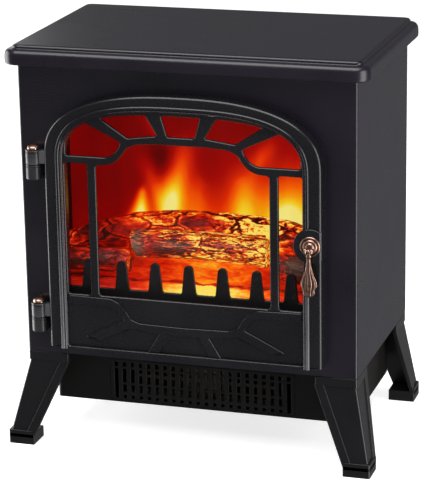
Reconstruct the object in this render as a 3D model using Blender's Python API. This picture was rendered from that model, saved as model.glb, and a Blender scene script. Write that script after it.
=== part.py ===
"""Stove-shaped electric fireplace heater on four splayed legs, with an opening arched door."""

import math

import bmesh
import bpy
from mathutils import Matrix, Vector

# Everything below is in millimetres and degrees. The object is built round the cabinet's centre line
# and moved to its resting origin at the end. X is to the right, Y to the back and Z up.
MM = 0.001

# Fits
GAP = 0.3
RUNNING_CLEARANCE = 0.4

# Cabinet
CABINET_WIDTH = 390.0
CABINET_DEPTH = 244.0
CABINET_BOTTOM = 108.0
CABINET_TOP = 446.8
SHEET = 1.0
BEND_RADIUS = 3.0
REAR_RETURN = 12.0
HALF_WIDTH = CABINET_WIDTH / 2
FRONT = -CABINET_DEPTH / 2
REAR = CABINET_DEPTH / 2

# Top slab: one pressed tray, with the lip at its widest
SLAB_OVERHANG = 14.4
SLAB_REAR_OVERHANG = 8.0
SLAB_HEIGHT = 21.7
SLAB_CORNER = 18.0
SLAB_WALL = 1.2
SLAB_TOP = CABINET_TOP + SLAB_HEIGHT

# Lower housing, set back under the cabinet
HOUSING_SIDE_INSET = 17.5
HOUSING_FRONT_INSET = 44.0
HOUSING_REAR_INSET = 18.0
HOUSING_DROP = 70.5
HOUSING_WALL = 2.0
HOUSING_FLANGE = 4.0
HOUSING_CORNER = 4.0
HOUSING_HALF_WIDTH = HALF_WIDTH - HOUSING_SIDE_INSET
HOUSING_FRONT = FRONT + HOUSING_FRONT_INSET
HOUSING_REAR = REAR - HOUSING_REAR_INSET
HOUSING_BOTTOM = CABINET_BOTTOM - HOUSING_DROP

# Outlet grille. The rows are heights above its lower edge.
GRILLE_HEIGHT = 49.5
GRILLE_THICKNESS = 2.5
GRILLE_COLUMNS = 22
GRILLE_PITCH = 9.93
GRILLE_SLOT = 4.6
GRILLE_MARGIN = 4.935
GRILLE_ROWS = ((2.1, 5.5), (10.0, 18.5), (21.5, 38.0), (41.0, 46.0))
GRILLE_HALF_WIDTH = ((GRILLE_COLUMNS - 1) * GRILLE_PITCH + GRILLE_SLOT) / 2 + GRILLE_MARGIN
GRILLE_BOTTOM = HOUSING_BOTTOM + 3.0
GRILLE_TOP = GRILLE_BOTTOM + GRILLE_HEIGHT

# Legs
LEG_BAND = 11.0
LEG_TOP_WIDTH = 48.0
LEG_FOOT_WIDTH = 30.0
LEG_WALL = 3.0
LEG_FRONT_SPLAY = (20.0, 22.5)
LEG_REAR_SPLAY = (15.0, 12.5)
LEG_FOOT_HEIGHT = 12.0
LEG_BORDER = 11.0
LEG_PROUD = 1.2
LEG_EDGE_RADIUS = 2.5
LEG_SILL = 4.5
LEG_PLATE = 26.0

# Door
DOOR_HALF_WIDTH = 159.5
DOOR_BOTTOM = 121.0
DOOR_TOP = 422.0
DOOR_SPRING = 345.0
DOOR_ARCH_POWER = 2.5
DOOR_THICKNESS = 20.0
DOOR_SKIN = 3.5
DOOR_RECESS = 4.0
DOOR_LATTICE = 5.0
DOOR_FRONT = FRONT - DOOR_THICKNESS
DOOR_BACK = FRONT - GAP
DOOR_FACE = DOOR_FRONT + DOOR_RECESS
LATTICE_BACK = DOOR_FACE + DOOR_LATTICE
BEAD_HALF_WIDTH = DOOR_HALF_WIDTH - 17.0
BEAD_TOP = DOOR_TOP - 14.5
BEAD_SPRING = DOOR_SPRING - 5.0
BEAD_ARCH_POWER = 2.8
BEAD_WIDTH = 6.4
BEAD_HEIGHT = 1.6
WINDOW_HALF_WIDTH = BEAD_HALF_WIDTH - 5.5
WINDOW_BOTTOM = DOOR_BOTTOM + 66.0
WINDOW_TOP = BEAD_TOP - 8.5
WINDOW_SPRING = BEAD_SPRING
WINDOW_ARCH_POWER = 3.0
BAR_OUTER = 110.5
BAR_INNER = 100.0
RELIEF_MIRROR = 524.0
RELIEF_HEIGHT = 1.0
GLASS_THICKNESS = 3.0
GLASS_LAP = 8.0

# Hinges, hung outside the door's left edge
KNUCKLE_RADIUS = 9.0
KNUCKLE_SIDE_GAP = 6.8
KNUCKLE_REAR_GAP = 1.0
HINGE_X = -DOOR_HALF_WIDTH - KNUCKLE_SIDE_GAP - KNUCKLE_RADIUS
HINGE_Y = FRONT - KNUCKLE_REAR_GAP - KNUCKLE_RADIUS
KNUCKLE_LENGTH = 17.0
ARM_THICKNESS = 8.0
PIN_RADIUS = 3.0
HINGE_LOWER = 137.9
HINGE_UPPER = 317.8
FINIAL_RADIUS = 7.0

# Handle
HANDLE_X = DOOR_HALF_WIDTH - 11.5
HANDLE_Z = 265.0
BOSS_RADIUS = 19.5
BOSS_HEIGHT = 3.0
ROSETTE_RADIUS = 11.5
ROSETTE_HEIGHT = 4.0
ROSETTE_FACE = DOOR_FRONT - BOSS_HEIGHT - GAP
EYE_Z = 262.0
EYE_Y = ROSETTE_FACE - 6.4
HANDLE_PIN_RADIUS = 1.0
DROP_LENGTH = 57.0

# Magnetic catch, on the handle side
MAGNET_HALF_WIDTH = 5.0
MAGNET_X = DOOR_HALF_WIDTH - 11.0
MAGNET_BOTTOM = 300.0
MAGNET_TOP = 330.0
STRIKE_THICKNESS = 4.7

# Firebox
OPENING_HALF_WIDTH = WINDOW_HALF_WIDTH + 9.0
OPENING_BOTTOM = WINDOW_BOTTOM - 21.0
OPENING_TOP = WINDOW_TOP + 3.0
OPENING_CORNER = 45.0
FIREBOX_DEPTH = 134.0
LINER_SIDE_GAP = 7.0
LINER_LAP = 6.0
LINER_HALF_WIDTH = HALF_WIDTH - LINER_SIDE_GAP
LINER_BOTTOM = OPENING_BOTTOM - LINER_LAP
LINER_TOP = OPENING_TOP + LINER_LAP
LINER_REAR = FRONT + FIREBOX_DEPTH
SCREEN_THICKNESS = 2.0
TINE_PITCH = 39.6
TINE_COUNT = 7
TINE_TOP = 224.0
TINE_BASE_WIDTH = 18.5
TINE_TOP_WIDTH = 11.0
FENCE_RAIL_TOP = 190.0
FENCE_THICKNESS = 4.0
FENCE_Y = FRONT + SHEET + 1.6
BED_FRONT_HEIGHT = 191.0
BED_RISE = 12.0
BED_STEP_Y = FRONT + 60.0
BED_WALL = 4.0
BED_CEILING = 183.0
BED_BOARD_Y = (FRONT + 36.0, FRONT + 66.0)
BOARD_THICKNESS = 1.6

# Logs: the points each core passes through, as (across, distance behind the cabinet's front, height,
# radius there), and a number that sets the unevenness
LOG_BACK_CORE = [(-172, 84, 219, 12), (-136, 88, 226, 17), (-96, 92, 233, 22), (-50, 94, 237, 24)]
LOG_BACK_CORE += [(0, 96, 238, 24), (45, 96, 238, 24), (92, 94, 235, 23)]
LOG_BACK_CORE += [(132, 88, 227, 18), (168, 82, 220, 12)]
LOG_FRONT_CORE = [(-75, 40, 234, 15), (-70, 40, 235, 18), (-30, 40, 237, 18), (20, 40, 237, 18)]
LOG_FRONT_CORE += [(60, 40, 236, 18), (80, 40, 234, 18), (84, 40, 234, 15)]
LOG_LEFT_CORE = [(-168, 38, 210, 13), (-140, 38, 212, 15), (-110, 38, 213, 15), (-84, 38, 213, 15)]
LOG_LEFT_CORE += [(-81, 38, 213, 12)]
LOG_RIGHT_CORE = [(90, 38, 220, 13), (95, 38, 220, 16), (120, 38, 216, 16), (150, 38, 211, 14)]
LOG_RIGHT_CORE += [(168, 38, 209, 12)]
LOGS = {
    "log_back": (LOG_BACK_CORE, 0.0),
    "log_front": (LOG_FRONT_CORE, 21.0),
    "log_left": (LOG_LEFT_CORE, 40.0),
    "log_right": (LOG_RIGHT_CORE, 75.0),
}

# Flame machinery behind the screen
STAND_HALF_WIDTH = 150.0
STAND_HALF_DEPTH = 25.0
STAND_WALL = 1.5
STAND_FLOOR = 170.0
ROD_Y = LINER_REAR + 48.0
ROD_Z = STAND_FLOOR + 35.0
ROD_RADIUS = 3.0
FLICKER_MOTOR_RADIUS = 20.0
FLICKER_MOTOR_LENGTH = 16.0

# Blower
BLOWER_MOUTH = HOUSING_FRONT + 12.0
FAN_Y = HOUSING_FRONT + 72.0
FAN_Z = HOUSING_BOTTOM + 36.5
FAN_RADIUS = 22.0
FAN_CLEARANCE = 5.0
FAN_HALF_LENGTH = 88.0
FAN_SHAFT_RADIUS = 2.5
FAN_BLADES = 14
SCROLL_WALL = 2.0
SCROLL_REACH = FAN_RADIUS + FAN_CLEARANCE
HEATER_Y = (HOUSING_FRONT + 16.0, HOUSING_FRONT + 32.0)
HEATER_Z = (FAN_Z - 26.0, FAN_Z + 10.0)

# Controls, on the back
PANEL_LEFT = -165.0
PANEL_RIGHT = -45.0
PANEL_BOTTOM = 128.0
PANEL_TOP = 198.0
PANEL_THICKNESS = 2.4
PANEL_FACE = REAR + GAP + PANEL_THICKNESS
ROCKER_X = (-148.0, -128.0, -108.0)
ROCKER_Z = 163.0
ROCKER_WIDTH = 12.0
ROCKER_HEIGHT = 18.0
ROCKER_SIDE_GAP = 0.6
ROCKER_END_GAP = 0.8
ROCKER_TILT = 7.0
ROCKER_AXIS_Y = PANEL_FACE - 3.0
SWITCH_DEPTH = 20.0
SWITCH_WELL = 12.0
SWITCH_RIM = 2.5
KNOB_X = -70.0
KNOB_RADIUS = 14.0
KNOB_SHAFT_RADIUS = 3.0
GLAND_X = 130.0
GLAND_Z = 135.0
GLAND_RADIUS = 8.0
GLAND_BORE = 4.0


# ---------------------------------------------------------------- materials


def material(name, colour, roughness, metallic=0.0):
    """One plain Principled BSDF material."""
    made = bpy.data.materials.new(name)
    made.use_nodes = True
    shader = made.node_tree.nodes["Principled BSDF"]
    shader.inputs["Base Color"].default_value = (*colour, 1.0)
    shader.inputs["Roughness"].default_value = roughness
    shader.inputs["Metallic"].default_value = metallic
    return made


# ---------------------------------------------------------------- solids


def finished(solid):
    """The solid with its faces turned outwards."""
    bmesh.ops.recalc_face_normals(solid, faces=solid.faces)
    volume = solid.calc_volume(signed=True)
    if volume < 0:
        bmesh.ops.reverse_faces(solid, faces=solid.faces)
    return solid


def loft(loops):
    """A solid through loops of equally many points, closed by a face at each end."""
    solid = bmesh.new()
    rings = [[solid.verts.new(point) for point in loop] for loop in loops]
    count = len(rings[0])
    for lower, upper in zip(rings, rings[1:]):
        for index in range(count):
            after = (index + 1) % count
            solid.faces.new((lower[index], lower[after], upper[after], upper[index]))
    solid.faces.new(rings[0])
    solid.faces.new(rings[-1])
    return finished(solid)


def placed(point, axis, height):
    """A point of an outline, put at a height along an axis."""
    first, second = point
    if axis == "X":
        return (height, first, second)
    if axis == "Y":
        return (first, height, second)
    return (first, second, height)


def prism(outline, axis, low, high):
    """An outline pushed along an axis. The outline's coordinates are the two other axes in order."""
    return loft([[placed(point, axis, height) for point in outline] for height in (low, high)])


def box(x_range, y_range, z_range):
    x_low, x_high = x_range
    y_low, y_high = y_range
    outline = [(x_low, y_low), (x_high, y_low), (x_high, y_high), (x_low, y_high)]
    return prism(outline, "Z", *z_range)


def turned(profile, axis, centre, steps=32):
    """A solid of revolution with closed ends. The profile is (radius, height) from one end to the other."""
    solid = bmesh.new()
    rings = []
    for radius, height in profile:
        if radius == 0:
            rings.append([solid.verts.new(placed(centre, axis, height))])
            continue
        ring = []
        for step in range(steps):
            angle = 2 * math.pi * step / steps
            spot = (centre[0] + radius * math.cos(angle), centre[1] + radius * math.sin(angle))
            ring.append(solid.verts.new(placed(spot, axis, height)))
        rings.append(ring)
    for lower, upper in zip(rings, rings[1:]):
        for index in range(steps):
            after = (index + 1) % steps
            corners = [lower[index % len(lower)], lower[after % len(lower)]]
            corners += [upper[after % len(upper)], upper[index % len(upper)]]
            solid.faces.new(list(dict.fromkeys(corners)))
    for ring in (rings[0], rings[-1]):
        if len(ring) > 1:
            solid.faces.new(ring)
    return finished(solid)


def cylinder(radius, axis, centre, low, high, steps=32):
    return turned([(radius, low), (radius, high)], axis, centre, steps)


def joined_mesh(solids):
    """One mesh that holds several solids, which are used up."""
    together = bmesh.new()
    for solid in solids:
        mesh = bpy.data.meshes.new("work")
        solid.to_mesh(mesh)
        solid.free()
        together.from_mesh(mesh)
        bpy.data.meshes.remove(mesh)
    mesh = bpy.data.meshes.new("work")
    together.to_mesh(mesh)
    together.free()
    return mesh


def combined(base, others, operation):
    """The base after exact Booleans with the others, one after another. Each of the others is a solid
    or a list of solids that don't touch one another."""
    scene_objects = bpy.context.scene.collection.objects
    target = bpy.data.objects.new("work", joined_mesh([base]))
    scene_objects.link(target)
    helpers = []
    for other in others:
        helper = bpy.data.objects.new("work", joined_mesh(other if isinstance(other, list) else [other]))
        scene_objects.link(helper)
        helper.hide_render = True
        helper.display_type = "WIRE"
        helpers.append(helper)
        modifier = target.modifiers.new("step", "BOOLEAN")
        modifier.operation = operation
        modifier.solver = "EXACT"
        modifier.object = helper
    graph = bpy.context.evaluated_depsgraph_get()
    mesh = bpy.data.meshes.new_from_object(target.evaluated_get(graph))
    for used in [target, *helpers]:
        data = used.data
        bpy.data.objects.remove(used)
        bpy.data.meshes.remove(data)
    solid = bmesh.new()
    solid.from_mesh(mesh)
    bpy.data.meshes.remove(mesh)
    bmesh.ops.dissolve_limit(solid, angle_limit=0.0005, verts=solid.verts, edges=solid.edges)
    return solid


def cut(base, *others):
    return combined(base, others, "DIFFERENCE")


def union(base, *others):
    return combined(base, others, "UNION")


def rotated(solid, degrees, axis, centre):
    bmesh.ops.rotate(
        solid,
        cent=centre,
        matrix=Matrix.Rotation(math.radians(degrees), 3, axis),
        verts=solid.verts,
    )
    return solid


# ---------------------------------------------------------------- outlines


def arc(centre, radius, start, end, steps):
    """Points on an arc, with its angles in degrees."""
    angles = [math.radians(start + (end - start) * step / steps) for step in range(steps + 1)]
    return [(centre[0] + radius * math.cos(a), centre[1] + radius * math.sin(a)) for a in angles]


def rounded_rectangle(x_range, z_range, radius, steps=6):
    x_low, x_high = x_range
    z_low, z_high = z_range
    outline = arc((x_high - radius, z_low + radius), radius, -90, 0, steps)
    outline += arc((x_high - radius, z_high - radius), radius, 0, 90, steps)
    outline += arc((x_low + radius, z_high - radius), radius, 90, 180, steps)
    outline += arc((x_low + radius, z_low + radius), radius, 180, 270, steps)
    return outline


def arch_points(half_width, spring, top, power, steps=28):
    """The curve of an arch from its right springing over the crown to its left one."""
    points = []
    for step in range(steps + 1):
        angle = math.pi * step / steps
        across = math.copysign(abs(math.cos(angle)) ** (2 / power), math.cos(angle))
        up = abs(math.sin(angle)) ** (2 / power)
        points.append((half_width * across, spring + (top - spring) * up))
    return points


def arched_outline(half_width, bottom, spring, top, power, corner=3.0):
    """A door-shaped outline: straight sides, a flat foot with small corners and an arched head."""
    outline = arc((half_width - corner, bottom + corner), corner, -90, 0, 3)
    outline += arch_points(half_width, spring, top, power)
    outline += arc((-half_width + corner, bottom + corner), corner, 180, 270, 3)
    return outline


def mirrored(points):
    return [(-across, up) for across, up in reversed(points)]


def softened(points, radius):
    """An outline with each corner replaced by a short curve."""
    outline = []
    count = len(points)
    for index, corner in enumerate(points):
        here = Vector(corner)
        before = Vector(points[index - 1]) - here
        after = Vector(points[(index + 1) % count]) - here
        reach = min(radius, before.length / 2.2, after.length / 2.2)
        start = here + before.normalized() * reach
        end = here + after.normalized() * reach
        for step in range(4):
            share = step / 3
            bend = start.lerp(here, share).lerp(here.lerp(end, share), share)
            outline.append((bend.x, bend.y))
    return outline


def ribbon(path, width):
    """The outline of a band of constant width along an open path."""
    left, right = [], []
    for index, point in enumerate(path):
        here = Vector(point)
        before = Vector(path[max(index - 1, 0)])
        after = Vector(path[min(index + 1, len(path) - 1)])
        along = (after - before).normalized()
        across = Vector((-along.y, along.x)) * width / 2
        left.append(tuple(here + across))
        right.append(tuple(here - across))
    return left + right[::-1]


# ---------------------------------------------------------------- nodes


def node(name, solid, finish, origin=(0.0, 0.0, 0.0), smooth=35.0, turn=None):
    """One named piece. Its mesh is measured from its origin, which lies on its joint axis if it moves."""
    bmesh.ops.translate(solid, vec=-Vector(origin), verts=solid.verts)
    bmesh.ops.scale(solid, vec=(MM, MM, MM), verts=solid.verts)
    mesh = bpy.data.meshes.new(name)
    solid.to_mesh(mesh)
    solid.free()
    for face in mesh.polygons:
        face.use_smooth = True
    mesh.set_sharp_from_angle(angle=math.radians(smooth))
    mesh.materials.append(finish)
    made = bpy.data.objects.new(name, mesh)
    made.location = Vector(origin) * MM
    if turn:
        made.rotation_euler = turn
    bpy.context.scene.collection.objects.link(made)
    return made


# ---------------------------------------------------------------- cabinet


def slab_loop(inset, height):
    half = HALF_WIDTH + SLAB_OVERHANG - inset
    depth = (FRONT - SLAB_OVERHANG + inset, REAR + SLAB_REAR_OVERHANG - inset)
    radius = max(SLAB_CORNER - inset, 1.5)
    outline = rounded_rectangle((-half, half), depth, radius, 4)
    return [(x, y, CABINET_TOP + height) for x, y in outline]


def top_slab():
    """An inverted tray: flat top, two rounded steps, upright lip and a flange turned in over the walls."""
    outer = [(13.4, 21.7), (11.6, 21.4), (10.2, 20.6), (9.4, 19.4), (9.2, 17.9), (8.6, 17.3), (6.8, 17.1)]
    outer += [(4.4, 16.6), (2.3, 15.3), (0.9, 13.2), (0.2, 10.6)]
    outer += [(0.0, 8.0), (0.0, 2.8), (0.5, 1.1), (1.8, 0.0)]
    inner = [(24.0, 0.0), (24.0, SLAB_WALL), (2.6, SLAB_WALL), (1.5, 2.4), (SLAB_WALL, 3.4), (SLAB_WALL, 8.0)]
    inner += [(1.5, 10.4), (2.2, 12.5), (3.4, 14.2), (5.2, 15.3), (7.4, 15.8), (10.1, 16.0), (10.5, 18.6)]
    inner += [(11.2, 19.6), (12.2, 20.3), (13.8, 20.5)]
    return loft([slab_loop(inset, height) for inset, height in outer + inner])


def wrap_outline():
    """Plan of the bent sheet: front and both sides, with a return along each rear edge."""
    back = REAR - SHEET - GAP
    half = HALF_WIDTH
    corners = [(-half, back), (-half, FRONT), (half, FRONT), (half, back)]
    centres = [(-1, -1), (-1, 1), (1, 1), (1, -1)]
    starts = [90, 180, 270, 0]
    outer, inner = [(-half + REAR_RETURN, back)], [(-half + REAR_RETURN, back - SHEET)]
    for (x, y), (side, depth), start in zip(corners, centres, starts):
        centre = (x - side * BEND_RADIUS, y + depth * BEND_RADIUS)
        outer += arc(centre, BEND_RADIUS, start, start + 90, 5)
        inner += arc(centre, BEND_RADIUS - SHEET, start, start + 90, 5)
    outer.append((half - REAR_RETURN, back))
    inner.append((half - REAR_RETURN, back - SHEET))
    return outer + inner[::-1]


def screw_spots():
    across = HALF_WIDTH - REAR_RETURN / 2 - 1
    return [(side * across, height) for side in (-1, 1) for height in (CABINET_BOTTOM + 22, CABINET_TOP - 27)]


def opening_outline():
    x, corner, steps = OPENING_HALF_WIDTH, OPENING_CORNER, 8
    outline = [(-x, OPENING_BOTTOM), (x, OPENING_BOTTOM)]
    outline += arc((x - corner, OPENING_TOP - corner), corner, 0, 90, steps)
    outline += arc((-x + corner, OPENING_TOP - corner), corner, 90, 180, steps)
    return outline


def cabinet_wrap():
    wrap = prism(wrap_outline(), "Z", CABINET_BOTTOM + GAP, CABINET_TOP - GAP)
    opening = prism(opening_outline(), "Y", FRONT - 5, FRONT + 5)
    holes = [cylinder(1.8, "Y", spot, REAR - 6, REAR + 1, 12) for spot in screw_spots()]
    return cut(wrap, [opening, *holes])


def slot_grid(x_range, z_range, columns, rows, width, height, y_range):
    """Boxes for rows and columns of slots."""
    x_low, x_high = x_range
    z_low, z_high = z_range
    slots = []
    for column in range(columns):
        x = x_low + (x_high - x_low) * column / (columns - 1)
        for row in range(rows):
            z = z_low + (z_high - z_low) * row / (rows - 1)
            slots.append(box((x - width / 2, x + width / 2), y_range, (z - height / 2, z + height / 2)))
    return slots


def rear_panel():
    panel = box(
        (-HALF_WIDTH + GAP, HALF_WIDTH - GAP),
        (REAR - SHEET, REAR),
        (CABINET_BOTTOM + 2 * GAP, CABINET_TOP - 2 * GAP),
    )
    through = (REAR - 5, REAR + 5)
    holes = [cylinder(1.8, "Y", spot, *through, 12) for spot in screw_spots()]
    holes += slot_grid((-110, 110), (380, 404), 11, 2, 13, 6, through)
    holes += slot_grid((0, 100), (176, 212), 5, 3, 13, 6, through)
    width, height = switch_outline(SWITCH_RIM + 0.5)
    holes.append(box(width, through, height))
    holes.append(cylinder(KNOB_SHAFT_RADIUS + 5, "Y", (KNOB_X, ROCKER_Z), *through))
    holes.append(cylinder(GLAND_RADIUS + 0.5, "Y", (GLAND_X, GLAND_Z), *through))
    return cut(panel, holes)


def rear_screw(spot):
    face = REAR + GAP
    profile = [(1.5, REAR - 5), (1.5, face), (4.0, face), (4.0, face + 1), (3.2, face + 1.9), (0, face + 2.3)]
    screw = turned([(0, REAR - 5.5), *profile], "Y", spot, 20)
    x, z = spot
    cross = [box((x - 2, x + 2), (face + 1.2, face + 4), (z - 0.4, z + 0.4))]
    upright = box((x - 0.4, x + 0.4), (face + 1.2, face + 4), (z - 2, z + 2))
    return cut(screw, cross, upright)


def base_pan():
    """A shallow tray that closes the cabinet's bottom, with a well for the blower."""
    half = HALF_WIDTH - SHEET - 0.6
    front, rear = FRONT + SHEET + 0.6, REAR - 2 * SHEET - GAP - 0.7
    low = CABINET_BOTTOM + GAP
    pan = box((-half, half), (front, rear), (low, low + 11))
    inner = box((-half + SHEET, half - SHEET), (front + SHEET, rear - SHEET), (low + SHEET, low + 20))
    well_half = FAN_HALF_LENGTH + 62
    well = box((-well_half, well_half), (HOUSING_FRONT + 8, FAN_Y + 40), (low - 5, low + 5))
    return cut(pan, inner, well)


def lower_housing():
    half = HOUSING_HALF_WIDTH
    top = CABINET_BOTTOM
    wall = HOUSING_WALL
    corner = HOUSING_CORNER
    shell = prism(
        rounded_rectangle((-half, half), (HOUSING_FRONT, HOUSING_REAR), corner, 4), "Z", HOUSING_BOTTOM, top
    )
    flange = prism(
        rounded_rectangle(
            (-half - HOUSING_FLANGE, half + HOUSING_FLANGE),
            (HOUSING_FRONT - HOUSING_FLANGE, HOUSING_REAR + HOUSING_FLANGE),
            corner,
            4,
        ),
        "Z",
        top - wall,
        top,
    )
    hollow = prism(
        rounded_rectangle((-half + wall, half - wall), (HOUSING_FRONT + wall, HOUSING_REAR - wall), 2.0, 4),
        "Z",
        HOUSING_BOTTOM + wall,
        top + 5,
    )
    outlet_half = GRILLE_HALF_WIDTH + GAP
    outlet = box(
        (-outlet_half, outlet_half),
        (HOUSING_FRONT - 5, HOUSING_FRONT + 10),
        (GRILLE_BOTTOM - GAP, GRILLE_TOP + GAP),
    )
    return cut(union(shell, flange), hollow, outlet)


def outlet_grille():
    """Slotted insert: full-height slots at both ends, four rows of slots between them."""
    half = GRILLE_HALF_WIDTH
    depth = (HOUSING_FRONT, HOUSING_FRONT + GRILLE_THICKNESS)
    plate = box((-half, half), depth, (GRILLE_BOTTOM, GRILLE_TOP))
    through = (HOUSING_FRONT - 5, HOUSING_FRONT + 8)
    slots = []
    for column in range(GRILLE_COLUMNS):
        x = (column - (GRILLE_COLUMNS - 1) / 2) * GRILLE_PITCH
        edges = (x - GRILLE_SLOT / 2, x + GRILLE_SLOT / 2)
        rows = GRILLE_ROWS
        if column in (0, GRILLE_COLUMNS - 1):
            rows = ((GRILLE_ROWS[0][0], GRILLE_ROWS[2][1]), GRILLE_ROWS[3])
        slots += [box(edges, through, (GRILLE_BOTTOM + low, GRILLE_BOTTOM + high)) for low, high in rows]
    return cut(plate, slots)


def leg_corner(height, proud, splay):
    """Outward distances of a leg's outer corner from the cabinet's centre at a height, with its splay."""
    share = (CABINET_BOTTOM - LEG_BAND - height) / (CABINET_BOTTOM - LEG_BAND - LEG_FOOT_HEIGHT)
    share = min(max(share, 0.0), 1.0)
    return (
        HALF_WIDTH + splay[0] * share - LEG_PROUD + proud,
        -FRONT + splay[1] * share - LEG_PROUD + proud,
        share,
    )


def leg_loop(height, proud, wall, splay):
    """L-shaped section of a leg at a height."""
    x, y, share = leg_corner(height, proud, splay)
    width = LEG_TOP_WIDTH + (LEG_FOOT_WIDTH - LEG_TOP_WIDTH) * share
    radius = LEG_EDGE_RADIUS
    outline = [(x - width, y), *arc((x - radius, y - radius), radius, 90, 0, 4), (x, y - width)]
    outline += [(x - wall, y - width), (x - wall, y - wall), (x - width, y - wall)]
    return [(across, depth, height) for across, depth in outline]


def border_loop(height, along_x, splay):
    """Section of the raised border that follows a leg's inner edge."""
    x, y, share = leg_corner(height, 0.0, splay)
    width = LEG_TOP_WIDTH + (LEG_FOOT_WIDTH - LEG_TOP_WIDTH) * share
    near, far, out = width - LEG_BORDER, width, LEG_PROUD
    if along_x:
        outline = [(x - far, y - 1), (x - near, y - 1), (x - near - 0.4, y + out), (x - far, y + out)]
    else:
        outline = [(x - 1, y - far), (x - 1, y - near), (x + out, y - near - 0.4), (x + out, y - far)]
    return [(across, depth, height) for across, depth in outline]


def leg(side, depth):
    """Moulded corner leg: band under the cabinet, splayed angle section with raised borders, solid foot."""
    top = CABINET_BOTTOM
    under = top - LEG_BAND
    foot = LEG_FOOT_HEIGHT
    splay = LEG_FRONT_SPLAY if depth < 0 else LEG_REAR_SPLAY
    body = loft([leg_loop(height, 0.0, LEG_WALL, splay) for height in (top - 1, under, foot - 2)])
    band = loft([leg_loop(height, LEG_PROUD, LEG_WALL + LEG_PROUD, splay) for height in (top - GAP, under)])
    ledge_x = loft([border_loop(height, True, splay) for height in (under + 1, foot - 1)])
    ledge_y = loft([border_loop(height, False, splay) for height in (under + 1, foot - 1)])
    x, y, _ = leg_corner(0.0, LEG_PROUD, splay)
    pad = LEG_FOOT_WIDTH + LEG_PROUD
    pad_outline = [(x - pad, y), *arc((x - 2.5, y - 2.5), 2.5, 90, 0, 4), (x, y - pad), (x - pad, y - pad)]
    block = prism(pad_outline, "Z", 0.0, foot)
    sill_outline = [(x - pad, y), *arc((x - 2.5, y - 2.5), 2.5, 90, 0, 4), (x, y - pad), (x - 4, y - 4)]
    sill = prism(sill_outline, "Z", foot - 4, foot + LEG_SILL)
    plate_x, plate_y = HALF_WIDTH - 1, -FRONT - 1
    plate_outline = [(plate_x, plate_y), (plate_x - LEG_PLATE, plate_y), (plate_x, plate_y - LEG_PLATE)]
    plate = prism(plate_outline, "Z", top - 4, top - GAP - 0.2)
    made = union(body, band, ledge_x, ledge_y, block, sill, plate)
    bmesh.ops.scale(made, vec=(side, depth, 1), verts=made.verts)
    return finished(made)


# ---------------------------------------------------------------- door


def hole_outlines():
    """The door's openings: window lights and the five lights of the sunburst."""
    arch = arch_points(WINDOW_HALF_WIDTH, WINDOW_SPRING, WINDOW_TOP, WINDOW_ARCH_POWER, 48)

    def arch_between(start, end):
        return [point for point in arch if start < point[0] < end]

    side = [(BAR_OUTER, WINDOW_BOTTOM), (WINDOW_HALF_WIDTH, WINDOW_BOTTOM)]
    side += [(WINDOW_HALF_WIDTH, 339.5), (BAR_OUTER, 339.5)]
    head = [(BAR_INNER, 338.5), (86, 339.5), (76, 344), (68, 353), (64, 360), (52, 365), (28, 366.5)]
    main = [(-BAR_INNER, WINDOW_BOTTOM), (BAR_INNER, WINDOW_BOTTOM), *head, *mirrored(head)]
    end_light = [(135.5, 348.5), *arch_between(111, 135), (70.5, 367), (72, 361), (78, 353), (87, 348.5)]
    shoulder = [(62, 372), *arch_between(36.5, 93), (27.5, 376.5)]
    crown = [(15.5, 376), *arch_between(-26.5, 26.5), (-15.5, 376)]
    right = [softened(side, 3), softened(end_light, 3), softened(shoulder, 2)]
    return right, [mirrored(outline) for outline in right], softened(main, 4), softened(crown, 2)


def sunburst_relief():
    """Raised bars on the solid foot of the door, the window's sunburst turned upside down."""
    low = RELIEF_MIRROR
    upper = [(136, low - 338.5), (86, low - 339.5), (76, low - 344), (68, low - 353), (63, low - 362)]
    upper.append((52, low - 366))
    lower = [(28, low - 377), (62, low - 373), (71, low - 365), (72, low - 361), (78, low - 353)]
    lower.append((87, low - 349))
    lower.append((136, low - 348.5))
    half = [*upper, (0, low - 367)]
    outline = half + mirrored(half)[1:] + [(-x, z) for x, z in reversed(lower)] + lower
    bars = [[(15, 149), (28.5, 149), (43, 124.8), (29, 124.8)]]
    bars.append([(60, 152), (70, 160.5), (117, 137.5), (100, 133.5)])
    raised = [prism(outline, "Y", DOOR_FACE - RELIEF_HEIGHT, DOOR_FACE + 1)]
    for bar in bars:
        for flip in (1, -1):
            shape = [(flip * x, z) for x, z in bar]
            raised.append(prism(shape, "Y", DOOR_FACE - RELIEF_HEIGHT, DOOR_FACE + 1))
    return raised


def bead():
    """Half-round moulding along the door's inner edge: up one side, over the arch and down the other."""
    arch = arch_points(BEAD_HALF_WIDTH, BEAD_SPRING, BEAD_TOP, BEAD_ARCH_POWER)
    path = [(BEAD_HALF_WIDTH, DOOR_BOTTOM + 1.0), *arch, (-BEAD_HALF_WIDTH, DOOR_BOTTOM + 1.0)]
    levels = [(BEAD_WIDTH, DOOR_FRONT + 1), (BEAD_WIDTH, DOOR_FRONT)]
    levels += [(BEAD_WIDTH * 0.8, DOOR_FRONT - BEAD_HEIGHT * 0.7)]
    levels += [(BEAD_WIDTH * 0.45, DOOR_FRONT - BEAD_HEIGHT)]
    return loft([[(x, y, z) for x, z in ribbon(path, width)] for width, y in levels])


def hinge_arm(low, high):
    """Knuckle of the door's half of a hinge, with the arm that carries it."""
    barrel = cylinder(KNUCKLE_RADIUS, "Z", (HINGE_X, HINGE_Y), low, high)
    depth = (HINGE_Y - ARM_THICKNESS / 2, HINGE_Y + ARM_THICKNESS / 2)
    arm = box((HINGE_X, -DOOR_HALF_WIDTH + 2), depth, (low + 0.5, high - 0.5))
    return barrel, arm


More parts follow.
